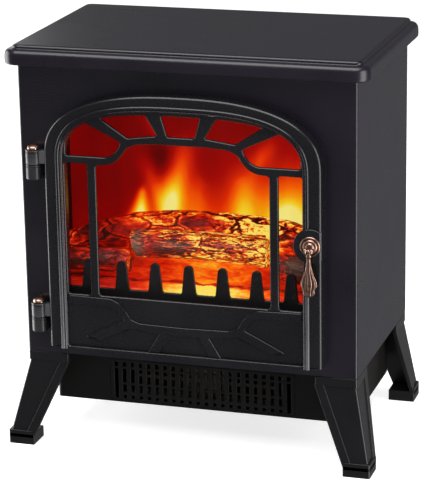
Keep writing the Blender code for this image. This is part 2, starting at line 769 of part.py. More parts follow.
def door_frame():
    outline = arched_outline(DOOR_HALF_WIDTH, DOOR_BOTTOM, DOOR_SPRING, DOOR_TOP, DOOR_ARCH_POWER)
    skin = DOOR_SKIN
    inset = arched_outline(
        DOOR_HALF_WIDTH - skin, DOOR_BOTTOM + skin, DOOR_SPRING, DOOR_TOP - skin, DOOR_ARCH_POWER
    )
    edge = BEAD_WIDTH / 2 + 1.3
    recess_outline = arched_outline(
        BEAD_HALF_WIDTH - edge, DOOR_BOTTOM + 4, BEAD_SPRING, BEAD_TOP - edge, BEAD_ARCH_POWER
    )
    panel = prism(outline, "Y", DOOR_FRONT, DOOR_BACK)
    hollow = prism(inset, "Y", LATTICE_BACK, DOOR_BACK + 5)
    recess = prism(recess_outline, "Y", DOOR_FRONT - 5, DOOR_FACE)
    blank = cut(panel, hollow, recess)
    raised = sunburst_relief()
    blank = union(blank, bead(), raised[0], raised[1:])
    centre = (HANDLE_X, HANDLE_Z)
    boss_edge = DOOR_HALF_WIDTH - 0.2 - HANDLE_X
    limit = math.degrees(math.acos(boss_edge / BOSS_RADIUS))
    boss_outline = arc(centre, BOSS_RADIUS, limit, 360 - limit, 40)
    boss = prism(boss_outline, "Y", DOOR_FRONT - BOSS_HEIGHT, LATTICE_BACK - 1.7)
    right, left, main, crown = hole_outlines()
    lights = [prism(light, "Y", DOOR_FRONT - 2, DOOR_BACK + 5) for light in [*right, *left, main, crown]]
    blank = union(cut(blank, lights), boss)
    arms = []
    for low in (HINGE_LOWER, HINGE_UPPER):
        arms += hinge_arm(low + KNUCKLE_LENGTH + GAP, low + 2 * KNUCKLE_LENGTH)
    bores = [
        cylinder(PIN_RADIUS + GAP, "Z", (HINGE_X, HINGE_Y), low - 1, low + 2 * KNUCKLE_LENGTH + 1, 24)
        for low in (HINGE_LOWER, HINGE_UPPER)
    ]
    socket = cylinder(2.4, "Y", centre, DOOR_FRONT - 10, DOOR_FRONT + 4, 20)
    return cut(union(blank, *arms), [*bores, socket])


def door_glass():
    skin = DOOR_SKIN + 12
    outline = arched_outline(
        DOOR_HALF_WIDTH - skin - 1, WINDOW_BOTTOM - GLASS_LAP, DOOR_SPRING, DOOR_TOP - skin, DOOR_ARCH_POWER
    )
    return prism(outline, "Y", LATTICE_BACK + GAP, LATTICE_BACK + GAP + GLASS_THICKNESS)


def hinge_knuckle(low):
    """Cabinet's half of a hinge: knuckle and the leaf that fixes it to the front sheet."""
    high = low + KNUCKLE_LENGTH
    barrel = cylinder(KNUCKLE_RADIUS, "Z", (HINGE_X, HINGE_Y), low, high)
    across = (HINGE_X - KNUCKLE_RADIUS, HINGE_X + KNUCKLE_RADIUS)
    leaf = box(across, (HINGE_Y + ARM_THICKNESS / 2, FRONT - GAP), (low + 0.5, high - 0.5))
    bore = cylinder(PIN_RADIUS + GAP, "Z", (HINGE_X, HINGE_Y), low + 2, high + 1, 24)
    return cut(union(barrel, leaf), bore)


def hinge_pin(low):
    top = low + 2 * KNUCKLE_LENGTH + GAP
    dome = [(FINIAL_RADIUS * math.cos(a), top + 1.2 + 3.6 * math.sin(a)) for a in (0.0, 0.4, 0.8, 1.15, 1.4)]
    profile = [(0, low + 2.4), (PIN_RADIUS, low + 2.4), (PIN_RADIUS, top), (FINIAL_RADIUS, top)]
    profile += [*dome, (0, top + 4.8)]
    return turned(profile, "Z", (HINGE_X, HINGE_Y), 28)


def handle_rosette():
    """Stepped rosette with the lug that the drop hangs from."""
    face = ROSETTE_FACE
    rings = [(1.0, 0.0), (1.0, -1.4), (0.87, -2.2), (0.72, -1.9), (0.6, -2.6), (0.48, -3.6)]
    rings.append((0.25, -ROSETTE_HEIGHT))
    profile = [(0, face + 6.0), (2.0, face + 6.0), (2.0, face)]
    profile += [(ROSETTE_RADIUS * share, face + out) for share, out in rings] + [(0, face - ROSETTE_HEIGHT)]
    disc = turned(profile, "Y", (HANDLE_X, HANDLE_Z), 40)
    lug = box((HANDLE_X - 4.6, HANDLE_X + 4.6), (EYE_Y - 2.4, face - 1), (EYE_Z - 2.6, EYE_Z + 2.6))
    slot = box((HANDLE_X - 2.5, HANDLE_X + 2.5), (EYE_Y - 6, EYE_Y + 3.2), (EYE_Z - 6, EYE_Z + 6))
    bore = cylinder(HANDLE_PIN_RADIUS + GAP, "X", (EYE_Y, EYE_Z), HANDLE_X - 10, HANDLE_X + 10, 20)
    return cut(union(disc, lug), slot, bore)


def handle_drop():
    """Fluted drop that swings on a pin through the lug."""
    top = EYE_Z
    sections = [(0.0, 2.1, 2.3), (5.5, 2.1, 2.0), (8.0, 2.9, 2.2), (9.0, 3.0, 2.3), (14.0, 2.9, 2.2)]
    sections += [(22.0, 3.6, 2.4), (30.0, 5.6, 2.8), (37.0, 8.6, 3.2), (42.0, 9.3, 3.3)]
    sections += [(46.0, 8.0, 3.1), (50.0, 6.4, 3.0), (54.0, 6.2, 2.8), (56.0, 5.0, 2.2), (DROP_LENGTH, 2.6, 1.2)]
    loops = []
    for below, half_width, half_depth in sections:
        flute = 0.16 * min(max((below - 16) / 20, 0), 1)
        loop = []
        for step in range(30):
            angle = 2 * math.pi * step / 30
            wave = 1 - flute * (0.5 + 0.5 * math.cos(10 * angle))
            loop.append(
                (
                    HANDLE_X + half_width * wave * math.cos(angle),
                    EYE_Y + half_depth * wave * math.sin(angle),
                    top - below,
                )
            )
        loops.append(loop)
    body = loft(loops)
    knob = cylinder(2.3, "X", (EYE_Y, top), HANDLE_X - 2.1, HANDLE_X + 2.1, 28)
    pin = cylinder(HANDLE_PIN_RADIUS, "X", (EYE_Y, top), HANDLE_X - 5.0, HANDLE_X + 5.0, 20)
    return union(body, knob, pin)


# ---------------------------------------------------------------- firebox


def firebox_liner():
    """Four-sided sheet tunnel from the front opening to the flame screen."""
    half = LINER_HALF_WIDTH
    depth = (FRONT + SHEET + GAP, LINER_REAR)
    shell = box((-half, half), depth, (LINER_BOTTOM, LINER_TOP))
    height = (LINER_BOTTOM + SHEET, LINER_TOP - SHEET)
    hollow = box((-half + SHEET, half - SHEET), (FRONT - 5, LINER_REAR + 5), height)
    return cut(shell, hollow)


def flame_screen():
    half = LINER_HALF_WIDTH - 1
    depth = (LINER_REAR + GAP, LINER_REAR + GAP + SCREEN_THICKNESS)
    return box((-half, half), depth, (LINER_BOTTOM + 1, LINER_TOP - 1))


def wobble(*place):
    """A smooth made-up unevenness between -1 and 1."""
    x, y, z = place
    return (math.sin(0.11 * x + 1.7) * math.cos(0.13 * y - 0.4) + math.sin(0.07 * x - 0.19 * z + 2.1)) / 2


def ember_height(x, y):
    rise = min(max((y - BED_STEP_Y) / 18, 0), 1)
    return BED_FRONT_HEIGHT + BED_RISE * rise + 2.2 * wobble(1.7 * x, 2.1 * y, 31.0)


def ember_bed():
    """Moulded bed of embers, hollow underneath."""
    half, front, back = LINER_HALF_WIDTH - SHEET - 1, FENCE_Y + FENCE_THICKNESS + 1, LINER_REAR - 1
    low = LINER_BOTTOM + SHEET + GAP
    columns, rows = 26, 12
    solid = bmesh.new()
    top, bottom = {}, {}
    for i in range(columns + 1):
        for j in range(rows + 1):
            x = -half + 2 * half * i / columns
            y = front + (back - front) * j / rows
            top[i, j] = solid.verts.new((x, y, ember_height(x, y)))
            bottom[i, j] = solid.verts.new((x, y, low))
    for i in range(columns):
        for j in range(rows):
            solid.faces.new((top[i, j], top[i + 1, j], top[i + 1, j + 1], top[i, j + 1]))
            solid.faces.new((bottom[i, j], bottom[i, j + 1], bottom[i + 1, j + 1], bottom[i + 1, j]))
    for i in range(columns):
        for j in (0, rows):
            solid.faces.new((bottom[i, j], bottom[i + 1, j], top[i + 1, j], top[i, j]))
    for j in range(rows):
        for i in (0, columns):
            solid.faces.new((bottom[i, j], bottom[i, j + 1], top[i, j + 1], top[i, j]))
    wall = BED_WALL
    hollow = box((-half + wall, half - wall), (front + wall, back - wall), (low - 5, BED_CEILING))
    return cut(finished(solid), hollow)


def log(path, seed):
    """An uneven log along a bent core."""
    core = [Vector((x, FRONT + behind, z)) for x, behind, z, _ in path]
    loops = []
    around, last = 16, len(core) - 1
    for index, centre in enumerate(core):
        along = (core[min(index + 1, last)] - core[max(index - 1, 0)]).normalized()
        side = along.cross(Vector((0, 0, 1))).normalized()
        up = side.cross(along)
        loop = []
        for step in range(around):
            angle = 2 * math.pi * step / around
            bump = wobble(seed + 0.35 * centre.x, 22 * math.cos(angle), 30 * math.sin(angle) + seed)
            reach = path[index][3] * (0.94 + 0.06 * bump)
            loop.append(centre + side * reach * math.cos(angle) + up * reach * math.sin(angle))
        loops.append(loop)
    return loft(loops)


def grate_fence():
    """Row of tapered, round-topped tines on a foot rail, behind the window."""
    depth = (FENCE_Y, FENCE_Y + FENCE_THICKNESS)
    half = LINER_HALF_WIDTH - SHEET - 1
    rail = box((-half, half), depth, (LINER_BOTTOM + SHEET + GAP, FENCE_RAIL_TOP))
    tines = []
    for index in range(TINE_COUNT):
        x = (index - (TINE_COUNT - 1) / 2) * TINE_PITCH
        radius = TINE_TOP_WIDTH / 2
        root = FENCE_RAIL_TOP - 4
        outline = [(x - TINE_BASE_WIDTH / 2, root), (x + TINE_BASE_WIDTH / 2, root)]
        outline += arc((x, TINE_TOP - radius), radius, 0, 180, 10)
        tines.append(prism(outline, "Y", *depth))
    return union(rail, tines)


# ---------------------------------------------------------------- flame machinery


def led_board(x_half, y_range, low, count):
    """Circuit board with a row of small lamps."""
    y_low, y_high = y_range
    board = box((-x_half, x_half), y_range, (low, low + BOARD_THICKNESS))
    middle = (y_low + y_high) / 2
    lamps = []
    for index in range(count):
        x = -x_half + 2 * x_half * (index + 0.5) / count
        height = (low + 1, low + 2 * BOARD_THICKNESS)
        lamps.append(box((x - 2.5, x + 2.5), (middle - 2.5, middle + 2.5), height))
    return union(board, lamps)


def flicker_stand():
    """Bench that carries the turning flame rod, its motor and the rear lamps."""
    half, wall = STAND_HALF_WIDTH, STAND_WALL
    low, high = CABINET_BOTTOM + GAP + SHEET + GAP, ROD_Z + 25
    floor = STAND_FLOOR
    outline = [(-half, low), (-half + wall, low), (-half + wall, floor - wall), (half - wall, floor - wall)]
    outline += [(half - wall, low), (half, low), (half, high), (half - wall, high), (half - wall, floor)]
    outline += [(-half + wall, floor), (-half + wall, high), (-half, high)]
    stand = prism(outline, "Y", ROD_Y - STAND_HALF_DEPTH, ROD_Y + STAND_HALF_DEPTH)
    bore = cylinder(ROD_RADIUS + RUNNING_CLEARANCE, "X", (ROD_Y, ROD_Z), -half - 5, half + 5, 24)
    return cut(stand, bore)


def flicker_rod():
    """Turning rod with bent reflector blades that throw the flame light on the screen."""
    rod = cylinder(ROD_RADIUS, "X", (ROD_Y, ROD_Z), -STAND_HALF_WIDTH - 3, STAND_HALF_WIDTH + 8, 24)
    blades = []
    for index in range(14):
        x = -130 + 20 * index
        blade = box((x - 8, x + 8), (ROD_Y - 14, ROD_Y + 14), (ROD_Z - 0.5, ROD_Z + 0.5))
        blades.append(rotated(blade, 47 * index, "X", (x, ROD_Y, ROD_Z)))
    return union(rod, blades)


def flicker_motor():
    left = STAND_HALF_WIDTH + GAP
    right = left + FLICKER_MOTOR_LENGTH
    profile = [(0, left), (FLICKER_MOTOR_RADIUS, left), (FLICKER_MOTOR_RADIUS, right)]
    profile += [(FLICKER_MOTOR_RADIUS - 3, right + 2), (0, right + 2)]
    body = turned(profile, "X", (ROD_Y, ROD_Z), 36)
    bore = cylinder(ROD_RADIUS + RUNNING_CLEARANCE, "X", (ROD_Y, ROD_Z), left - 5, right - 5, 24)
    return cut(body, bore)


# ---------------------------------------------------------------- blower


def blower_housing():
    """Scroll that draws air from behind and above and blows it through the heating element."""
    reach, wall = SCROLL_REACH, SCROLL_WALL
    near, far = FAN_HALF_LENGTH + 4, FAN_HALF_LENGTH + 4 + wall
    outer = arc((FAN_Y, FAN_Z), reach + wall, -90, 65, 16)
    inner = arc((FAN_Y, FAN_Z), reach, -90, 65, 16)
    outline = [(BLOWER_MOUTH, FAN_Z - reach - wall), *outer, *inner[::-1], (BLOWER_MOUTH, FAN_Z - reach)]
    scroll = prism(outline, "X", -far, far)
    plates = []
    for side in (-1, 1):
        edges = sorted((side * near, side * far))
        plates.append(box(edges, (BLOWER_MOUTH, FAN_Y + reach + wall), (FAN_Z - reach - wall, FAN_Z + reach)))
    holes = cylinder(
        FAN_SHAFT_RADIUS + RUNNING_CLEARANCE,
        "X",
        (FAN_Y, FAN_Z),
        -FAN_HALF_LENGTH - 20,
        FAN_HALF_LENGTH + 20,
        20,
    )
    return cut(union(scroll, plates), holes)


def fan_impeller():
    """Cross-flow impeller: curved blades between three discs."""
    shaft = cylinder(FAN_SHAFT_RADIUS, "X", (FAN_Y, FAN_Z), -FAN_HALF_LENGTH - 5.6, FAN_HALF_LENGTH + 16, 20)
    discs = [
        cylinder(FAN_RADIUS, "X", (FAN_Y, FAN_Z), x - 1, x + 1, 36)
        for x in (-FAN_HALF_LENGTH + 1, 0, FAN_HALF_LENGTH - 1)
    ]
    blades = []
    for index in range(FAN_BLADES):
        blade = box(
            (-FAN_HALF_LENGTH + 0.6, FAN_HALF_LENGTH - 0.6),
            (FAN_Y + FAN_RADIUS - 6.5, FAN_Y + FAN_RADIUS - 0.8),
            (FAN_Z - 0.6, FAN_Z + 0.6),
        )
        rotated(blade, 28, "X", (0, FAN_Y + FAN_RADIUS - 3, FAN_Z))
        blades.append(rotated(blade, 360 * index / FAN_BLADES, "X", (0, FAN_Y, FAN_Z)))
    return union(shaft, discs, blades)


def fan_motor():
    left = FAN_HALF_LENGTH + 4 + SCROLL_WALL + GAP
    profile = [(0, left), (8, left), (8, left + 2), (20, left + 2), (20, left + 26), (16, left + 30)]
    profile.append((0, left + 30))
    body = turned(profile, "X", (FAN_Y, FAN_Z), 36)
    bore = cylinder(FAN_SHAFT_RADIUS + RUNNING_CLEARANCE, "X", (FAN_Y, FAN_Z), left - 5, left + 16, 20)
    return cut(body, bore)


def heating_element():
    """Finned ceramic heater across the outlet."""
    half = FAN_HALF_LENGTH - 1
    front, back = HEATER_Y
    low, high = HEATER_Z
    block = box((-half, half), HEATER_Y, HEATER_Z)
    slots = []
    for index in range(16):
        x = -half + 2 * half * (index + 0.5) / 16
        for slot in (low + 2, high - 16):
            slots.append(box((x - 3.6, x + 3.6), (front - 8, back + 6), (slot, slot + 14)))
    return cut(block, slots)


def thermal_cutout():
    low = HEATER_Z[1] + GAP
    profile = [(0, low), (8, low), (8, low + 4), (6.5, low + 4), (6.5, low + 9), (0, low + 9)]
    return turned(profile, "Z", (40, sum(HEATER_Y) / 2), 28)


# ---------------------------------------------------------------- controls


def rocker_wells(depth):
    """Boxes that leave each rocker its clearance."""
    half_width = ROCKER_WIDTH / 2 + ROCKER_SIDE_GAP
    half_height = ROCKER_HEIGHT / 2 + ROCKER_END_GAP
    height = (ROCKER_Z - half_height, ROCKER_Z + half_height)
    return [box((x - half_width, x + half_width), depth, height) for x in ROCKER_X]


def switch_outline(margin):
    """Width and height of the three rockers' block, with a margin."""
    half_width = ROCKER_WIDTH / 2 + ROCKER_SIDE_GAP + margin
    half_height = ROCKER_HEIGHT / 2 + ROCKER_END_GAP + margin
    width = (ROCKER_X[0] - half_width, ROCKER_X[-1] + half_width)
    return width, (ROCKER_Z - half_height, ROCKER_Z + half_height)


def control_panel():
    face = REAR + GAP
    outline = rounded_rectangle((PANEL_LEFT, PANEL_RIGHT), (PANEL_BOTTOM, PANEL_TOP), 5)
    plate = prism(outline, "Y", face, PANEL_FACE)
    through = (face - 5, face + 8)
    knob_hole = cylinder(KNOB_SHAFT_RADIUS + 1.5, "Y", (KNOB_X, ROCKER_Z), *through, 24)
    return cut(plate, [*rocker_wells(through), knob_hole])


def switch_block():
    width, height = switch_outline(SWITCH_RIM)
    block = box(width, (REAR - SWITCH_DEPTH, REAR), height)
    return cut(block, rocker_wells((REAR - SWITCH_WELL, REAR + 5)))


def rocker(x):
    y = ROCKER_AXIS_Y
    half = ROCKER_HEIGHT / 2
    low, high = ROCKER_Z - half, ROCKER_Z + half
    outline = [(y - 6, low + 1.4), (y + 4.2, low), (y + 4.6, low + 0.8), (y + 2.6, ROCKER_Z)]
    outline += [(y + 4.6, high - 0.8), (y + 4.2, high), (y - 6, high - 1.4)]
    return prism(outline, "X", x - ROCKER_WIDTH / 2, x + ROCKER_WIDTH / 2)


def thermostat_body():
    depth = (REAR - 22, REAR - SHEET - GAP)
    body = box((KNOB_X - 15, KNOB_X + 15), depth, (ROCKER_Z - 15, ROCKER_Z + 15))
    bore = cylinder(KNOB_SHAFT_RADIUS + RUNNING_CLEARANCE, "Y", (KNOB_X, ROCKER_Z), REAR - 14, REAR + 5, 24)
    return cut(body, bore)


def thermostat_knob():
    face = PANEL_FACE + GAP
    shaft, radius = KNOB_SHAFT_RADIUS, KNOB_RADIUS
    profile = [(0, REAR - 12), (shaft, REAR - 12), (shaft, face), (radius, face), (radius, face + 2.4)]
    profile += [(radius - 1, face + 3), (radius - 3, face + 7.6), (radius - 4, face + 8.4), (0, face + 8.4)]
    body = turned(profile, "Y", (KNOB_X, ROCKER_Z), 40)
    mark = box((KNOB_X - 0.7, KNOB_X + 0.7), (face + 7.4, face + 10), (ROCKER_Z + 2, ROCKER_Z + radius - 5))
    return cut(body, mark)


def cord_gland():
    """Gland clamped through the rear panel, with a flange on each side of the sheet."""
    inner, outer = REAR - SHEET - GAP, REAR + GAP
    radius = GLAND_RADIUS
    profile = [(0, inner - 5), (radius + 2.5, inner - 5), (radius + 2.5, inner), (radius, inner)]
    profile += [(radius, outer), (radius + 3, outer), (radius + 3, outer + 2.6), (radius - 0.5, outer + 4)]
    profile += [(radius - 1.5, outer + 7.5), (0, outer + 7.5)]
    body = turned(profile, "Y", (GLAND_X, GLAND_Z), 36)
    bore = cylinder(GLAND_BORE, "Y", (GLAND_X, GLAND_Z), inner - 10, outer + 12, 28)
    return cut(body, bore)


def terminal_block():
    low = CABINET_BOTTOM + GAP + SHEET + GAP
    depth = (REAR - 34, REAR - 18)
    block = box((60, 100), depth, (low, low + 14))
    holes = []
    for index in range(4):
        holes.append(cylinder(2.2, "Y", (66 + 9.3 * index, low + 5), depth[0] - 8, depth[1] + 6, 16))
    return cut(block, holes)


def magnet_pair(y_range):
    across = (MAGNET_X - MAGNET_HALF_WIDTH, MAGNET_X + MAGNET_HALF_WIDTH)
    return box(across, y_range, (MAGNET_BOTTOM, MAGNET_TOP))


# ---------------------------------------------------------------- assembly


def build():
    black = material("satin_black_steel", (0.012, 0.012, 0.014), 0.38)
    plastic = material("black_plastic", (0.014, 0.014, 0.015), 0.5)
    dark = material("dark_moulding", (0.02, 0.019, 0.018), 0.6)
    copper = material("antique_copper", (0.33, 0.16, 0.1), 0.35, 1.0)
    glass = material("clear_pane", (0.75, 0.78, 0.78), 0.05)
    flame = material("flame_screen", (0.75, 0.18, 0.03), 0.5)
    bark = material("log", (0.32, 0.1, 0.04), 0.75)
    ember = material("ember", (0.8, 0.22, 0.03), 0.7)
    zinc = material("zinc_plate", (0.5, 0.51, 0.53), 0.4, 0.9)
    board = material("circuit_board", (0.05, 0.2, 0.08), 0.5)
    ceramic = material("ceramic", (0.75, 0.73, 0.68), 0.7)

    node("top_slab", top_slab(), black)
    node("cabinet_wrap", cabinet_wrap(), black)
    node("rear_panel", rear_panel(), black)
    node("base_pan", base_pan(), zinc)
    node("lower_housing", lower_housing(), plastic)
    node("outlet_grille", outlet_grille(), plastic)
    for depth, end in ((-1, "front"), (1, "rear")):
        for side, hand in ((-1, "left"), (1, "right")):
            node(f"leg_{end}_{hand}", leg(side, depth), plastic)
    for number, spot in enumerate(screw_spots()):
        node(f"rear_screw_{number + 1}", rear_screw(spot), zinc)

    axis = (HINGE_X, HINGE_Y, 0.0)
    node("door_frame", door_frame(), black, axis)
    node("door_glass", door_glass(), glass, axis)
    for low, where in ((HINGE_LOWER, "lower"), (HINGE_UPPER, "upper")):
        node(f"hinge_knuckle_{where}", hinge_knuckle(low), dark)
        node(f"hinge_pin_{where}", hinge_pin(low), copper, axis)
    node("handle_rosette", handle_rosette(), copper, axis)
    node("handle_drop", handle_drop(), copper, (HANDLE_X, EYE_Y, EYE_Z))
    strike_back = LATTICE_BACK + GAP + STRIKE_THICKNESS
    node("magnet_strike", magnet_pair((LATTICE_BACK + GAP, strike_back)), zinc, axis)
    node("magnet_catch", magnet_pair((strike_back + GAP, FRONT - GAP)), dark)

    node("firebox_liner", firebox_liner(), dark)
    node("flame_screen", flame_screen(), flame)
    node("ember_bed", ember_bed(), ember)
    for name, (path, seed) in LOGS.items():
        node(name, log(path, seed), bark)
    node("grate_fence", grate_fence(), dark)
    node("led_board_bed", led_board(120, BED_BOARD_Y, LINER_BOTTOM + SHEET + GAP, 12), board)

    node("flicker_stand", flicker_stand(), zinc)
    node("led_board_flame", led_board(130, (ROD_Y - 12, ROD_Y + 12), STAND_FLOOR + GAP, 14), board)
    node("flicker_rod", flicker_rod(), zinc, (0, ROD_Y, ROD_Z))
    node("flicker_motor", flicker_motor(), zinc)

    node("blower_housing", blower_housing(), zinc)
    node("fan_impeller", fan_impeller(), dark, (0, FAN_Y, FAN_Z))
    node("fan_motor", fan_motor(), zinc)
    node("heating_element", heating_element(), ceramic)
    node("thermal_cutout", thermal_cutout(), ceramic)

    node("control_panel", control_panel(), plastic)
    node("switch_block", switch_block(), dark)
    for x, task in zip(ROCKER_X, ("flame", "low_heat", "high_heat")):
        tilt = (math.radians(-ROCKER_TILT), 0.0, 0.0)
        node(f"rocker_{task}", rocker(x), dark, (x, ROCKER_AXIS_Y, ROCKER_Z), turn=tilt)
    node("thermostat_body", thermostat_body(), dark)
    node("thermostat_knob", thermostat_knob(), dark, (KNOB_X, REAR, ROCKER_Z))
    node("cord_gland", cord_gland(), plastic)
    node("terminal_block", terminal_block(), ceramic)


def centre_on_floor():
    """Moves the whole object in depth so that its bounding box is centred on the origin."""
    bpy.context.view_layer.update()
    depths = []
    for made in bpy.context.scene.collection.objects:
        depths += [(made.matrix_world @ Vector(corner)).y for corner in made.bound_box]
    shift = -(min(depths) + max(depths)) / 2
    for made in bpy.context.scene.collection.objects:
        made.location.y += shift


for old in list(bpy.data.objects):
    bpy.data.objects.remove(old)
build()
centre_on_floor()
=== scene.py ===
"""Looks for a stove-shaped electric fireplace: satin black steel, a cast door and a glowing log fire."""

import math

import bmesh
import bpy
from mathutils import Matrix, Vector, noise


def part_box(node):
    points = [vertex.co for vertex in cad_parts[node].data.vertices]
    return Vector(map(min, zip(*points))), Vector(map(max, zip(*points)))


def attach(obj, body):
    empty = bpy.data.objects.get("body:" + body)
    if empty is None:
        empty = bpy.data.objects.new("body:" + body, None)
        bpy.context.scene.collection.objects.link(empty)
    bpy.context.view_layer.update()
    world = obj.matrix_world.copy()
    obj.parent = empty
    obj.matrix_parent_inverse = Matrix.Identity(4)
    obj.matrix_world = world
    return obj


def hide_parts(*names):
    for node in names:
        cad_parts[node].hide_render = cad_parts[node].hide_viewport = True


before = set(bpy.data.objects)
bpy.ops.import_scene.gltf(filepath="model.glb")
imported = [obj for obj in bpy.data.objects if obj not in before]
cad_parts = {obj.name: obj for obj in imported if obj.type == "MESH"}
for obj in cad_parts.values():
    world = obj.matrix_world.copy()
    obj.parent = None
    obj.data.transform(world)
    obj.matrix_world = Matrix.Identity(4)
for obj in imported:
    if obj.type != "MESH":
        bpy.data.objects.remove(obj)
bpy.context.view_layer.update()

# Lengths are in millimetres round the cabinet's centre line, X to the right, Y to the back and Z up.
MM = 0.001
CABINET_WIDTH = 390.0
CABINET_DEPTH = 244.0
HALF_WIDTH = CABINET_WIDTH / 2
FRONT = -CABINET_DEPTH / 2
REAR = CABINET_DEPTH / 2
CABINET_BOTTOM = 108.0
CABINET_TOP = 446.8
SHEET = 1.0
BEND_RADIUS = 3.0
REAR_RETURN = 12.0
GAP = 0.3

SLAB_WIDTH = 418.8
SLAB_FRONT = -136.4
SLAB_REAR = 130.0
SLAB_CORNER = 18.0
SLAB_WALL = 1.2

DOOR_HALF_WIDTH = 159.5
DOOR_BOTTOM = 121.0
DOOR_TOP = 422.0
DOOR_SPRING = 345.0
DOOR_ARCH_POWER = 2.5
ARCH_FOOT_RADIUS = 3.0
DOOR_FRONT = FRONT - 20.0
DOOR_BACK = FRONT - GAP
DOOR_FACE = DOOR_FRONT + 4.0
DOOR_LATTICE = 5.0
LATTICE_BACK = DOOR_FACE + DOOR_LATTICE
BEAD_HALF_WIDTH = 142.5
BEAD_TOP = 407.5
BEAD_SPRING = 340.0
BEAD_ARCH_POWER = 2.8
WINDOW_HALF_WIDTH = 137.0
WINDOW_BOTTOM = 187.0
WINDOW_TOP = 399.0
WINDOW_SPRING = 340.0
WINDOW_ARCH_POWER = 3.0
SIDE_LIGHT_TOP = 339.5
BAR_OUTER = 110.5
BAR_INNER = 100.0
RELIEF_MIRROR = 524.0
RELIEF_HEIGHT = 1.8

HINGE_X = -175.3
HINGE_Y = -132.0
KNUCKLE_RADIUS = 9.0
KNUCKLE_LENGTH = 17.0
HINGE_LOWER = 137.9
HINGE_UPPER = 317.8
PIN_RADIUS = 3.0
FINIAL_RADIUS = 7.0

HANDLE_X = 148.0
HANDLE_Z = 265.0
BOSS_RADIUS = 19.5
BOSS_HEIGHT = 3.0
ROSETTE_RADIUS = 11.5
EYE_Z = 262.0
DROP_SHORTENING = 57.0 / 59.4
ROSETTE_FACE = DOOR_FRONT - BOSS_HEIGHT - GAP
EYE_Y = ROSETTE_FACE - 6.4

OPENING_HALF_WIDTH = 146.0
OPENING_BOTTOM = 166.0
OPENING_TOP = 402.0
OPENING_CORNER = 45.0
LINER_HALF_WIDTH = 188.0
LINER_BOTTOM = 160.0
LINER_TOP = 408.0
LINER_REAR = 12.0
TRAY_HALF_WIDTH = LINER_HALF_WIDTH - SHEET - 1
TRAY_BOTTOM = LINER_BOTTOM + SHEET + GAP
EMBER_LIP = 188.0
RAIL_TOP = 190.0
TINE_PITCH = 39.6
TINE_COUNT = 7
TINE_TOP = 224.0
TINE_BASE_WIDTH = 18.5
TINE_TOP_WIDTH = 11.0
FENCE_Y = -119.4
FENCE_THICKNESS = 4.0

LEG_BAND = 11.0
LEG_TOP_WIDTH = 48.0
LEG_FOOT_WIDTH = 30.0
LEG_WALL = 3.0
LEG_FRONT_SPLAY = (20.0, 22.5)
LEG_REAR_SPLAY = (15.0, 12.5)
LEG_FOOT_HEIGHT = 12.0
LEG_BORDER = 11.0
LEG_PROUD = 1.2
LEG_EDGE_RADIUS = 2.5

HOUSING_FRONT = -78.0
KNOB_RADIUS = 14.0
KNOB_DEPTH = 8.4
GRILLE_WIDTH = 223.0
GRILLE_BOTTOM = 40.5
GRILLE_TOP = 90.0
GRILLE_THICKNESS = 2.5
GRILLE_COLUMNS = 22
GRILLE_PITCH = 9.93
GRILLE_SLOT = 4.6
GRILLE_ROWS = ((42.6, 46.0), (50.5, 59.0), (62.0, 78.5), (81.5, 86.5))

SHARP_EDGE = math.radians(30.0)

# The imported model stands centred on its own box, a little behind the cabinet's centre line.
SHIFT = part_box("cabinet_wrap")[0].y / MM - FRONT


# ---------------------------------------------------------------- material nodes


def feed(node, inputs):
    """Links or sets inputs of a node. The keys are their names, or their places in its list."""
    for key, value in inputs.items():
        if isinstance(value, bpy.types.NodeSocket):
            node.id_data.links.new(value, node.inputs[key])
        else:
            node.inputs[key].default_value = value


def blank(name, colour, roughness, metallic=0.0, specular=0.5):
    """A material with its Principled shader set to even values."""
    made = bpy.data.materials.new(name)
    made.use_nodes = True
    shader = made.node_tree.nodes["Principled BSDF"]
    feed(shader, {"Base Color": (*colour, 1.0), "Roughness": roughness})
    feed(shader, {"Metallic": metallic, "Specular IOR Level": specular})
    return made, made.node_tree, shader


def add(tree, kind, settings=None, inputs=None):
    made = tree.nodes.new(kind)
    for name, value in (settings or {}).items():
        setattr(made, name, value)
    feed(made, inputs or {})
    return made


def moved(vector, inputs):
    return add(vector.id_data, "ShaderNodeMapping", inputs={"Vector": vector, **inputs}).outputs["Vector"]


def place(tree, scale=(1.0, 1.0, 1.0)):
    """Coordinates in metres that stay with the piece."""
    return moved(add(tree, "ShaderNodeTexCoord").outputs["Object"], {"Scale": scale})


def grain(vector, scale, detail=3.0, roughness=0.55, distortion=0.0):
    inputs = {"Vector": vector, "Scale": scale, "Detail": detail}
    inputs.update({"Roughness": roughness, "Distortion": distortion})
    return add(vector.id_data, "ShaderNodeTexNoise", inputs=inputs).outputs["Fac"]


def spread(value, from_low, from_high, low, high):
    inputs = {"Value": value, "From Min": from_low, "From Max": from_high, "To Min": low, "To Max": high}
    return add(value.id_data, "ShaderNodeMapRange", inputs=inputs).outputs["Result"]


def grained(value, low, high):
    """Noise, which lies mostly between 0.3 and 0.7, spread between two values."""
    return spread(value, 0.3, 0.7, low, high)


def sums(operation, first, second, clamp=False):
    settings = {"operation": operation, "use_clamp": clamp}
    return add(first.id_data, "ShaderNodeMath", settings, {0: first, 1: second}).outputs[0]


def plus(first, second):
    return sums("ADD", first, second)


def times(first, second):
    return sums("MULTIPLY", first, second)


def ramp(value, stops):
    made = add(value.id_data, "ShaderNodeValToRGB", inputs={"Fac": value})
    elements = made.color_ramp.elements
    while len(elements) < len(stops):
        elements.new(1.0)
    for element, (position, colour) in zip(elements, stops):
        element.position = position
        element.color = (*colour, 1.0)
    return made.outputs["Color"]


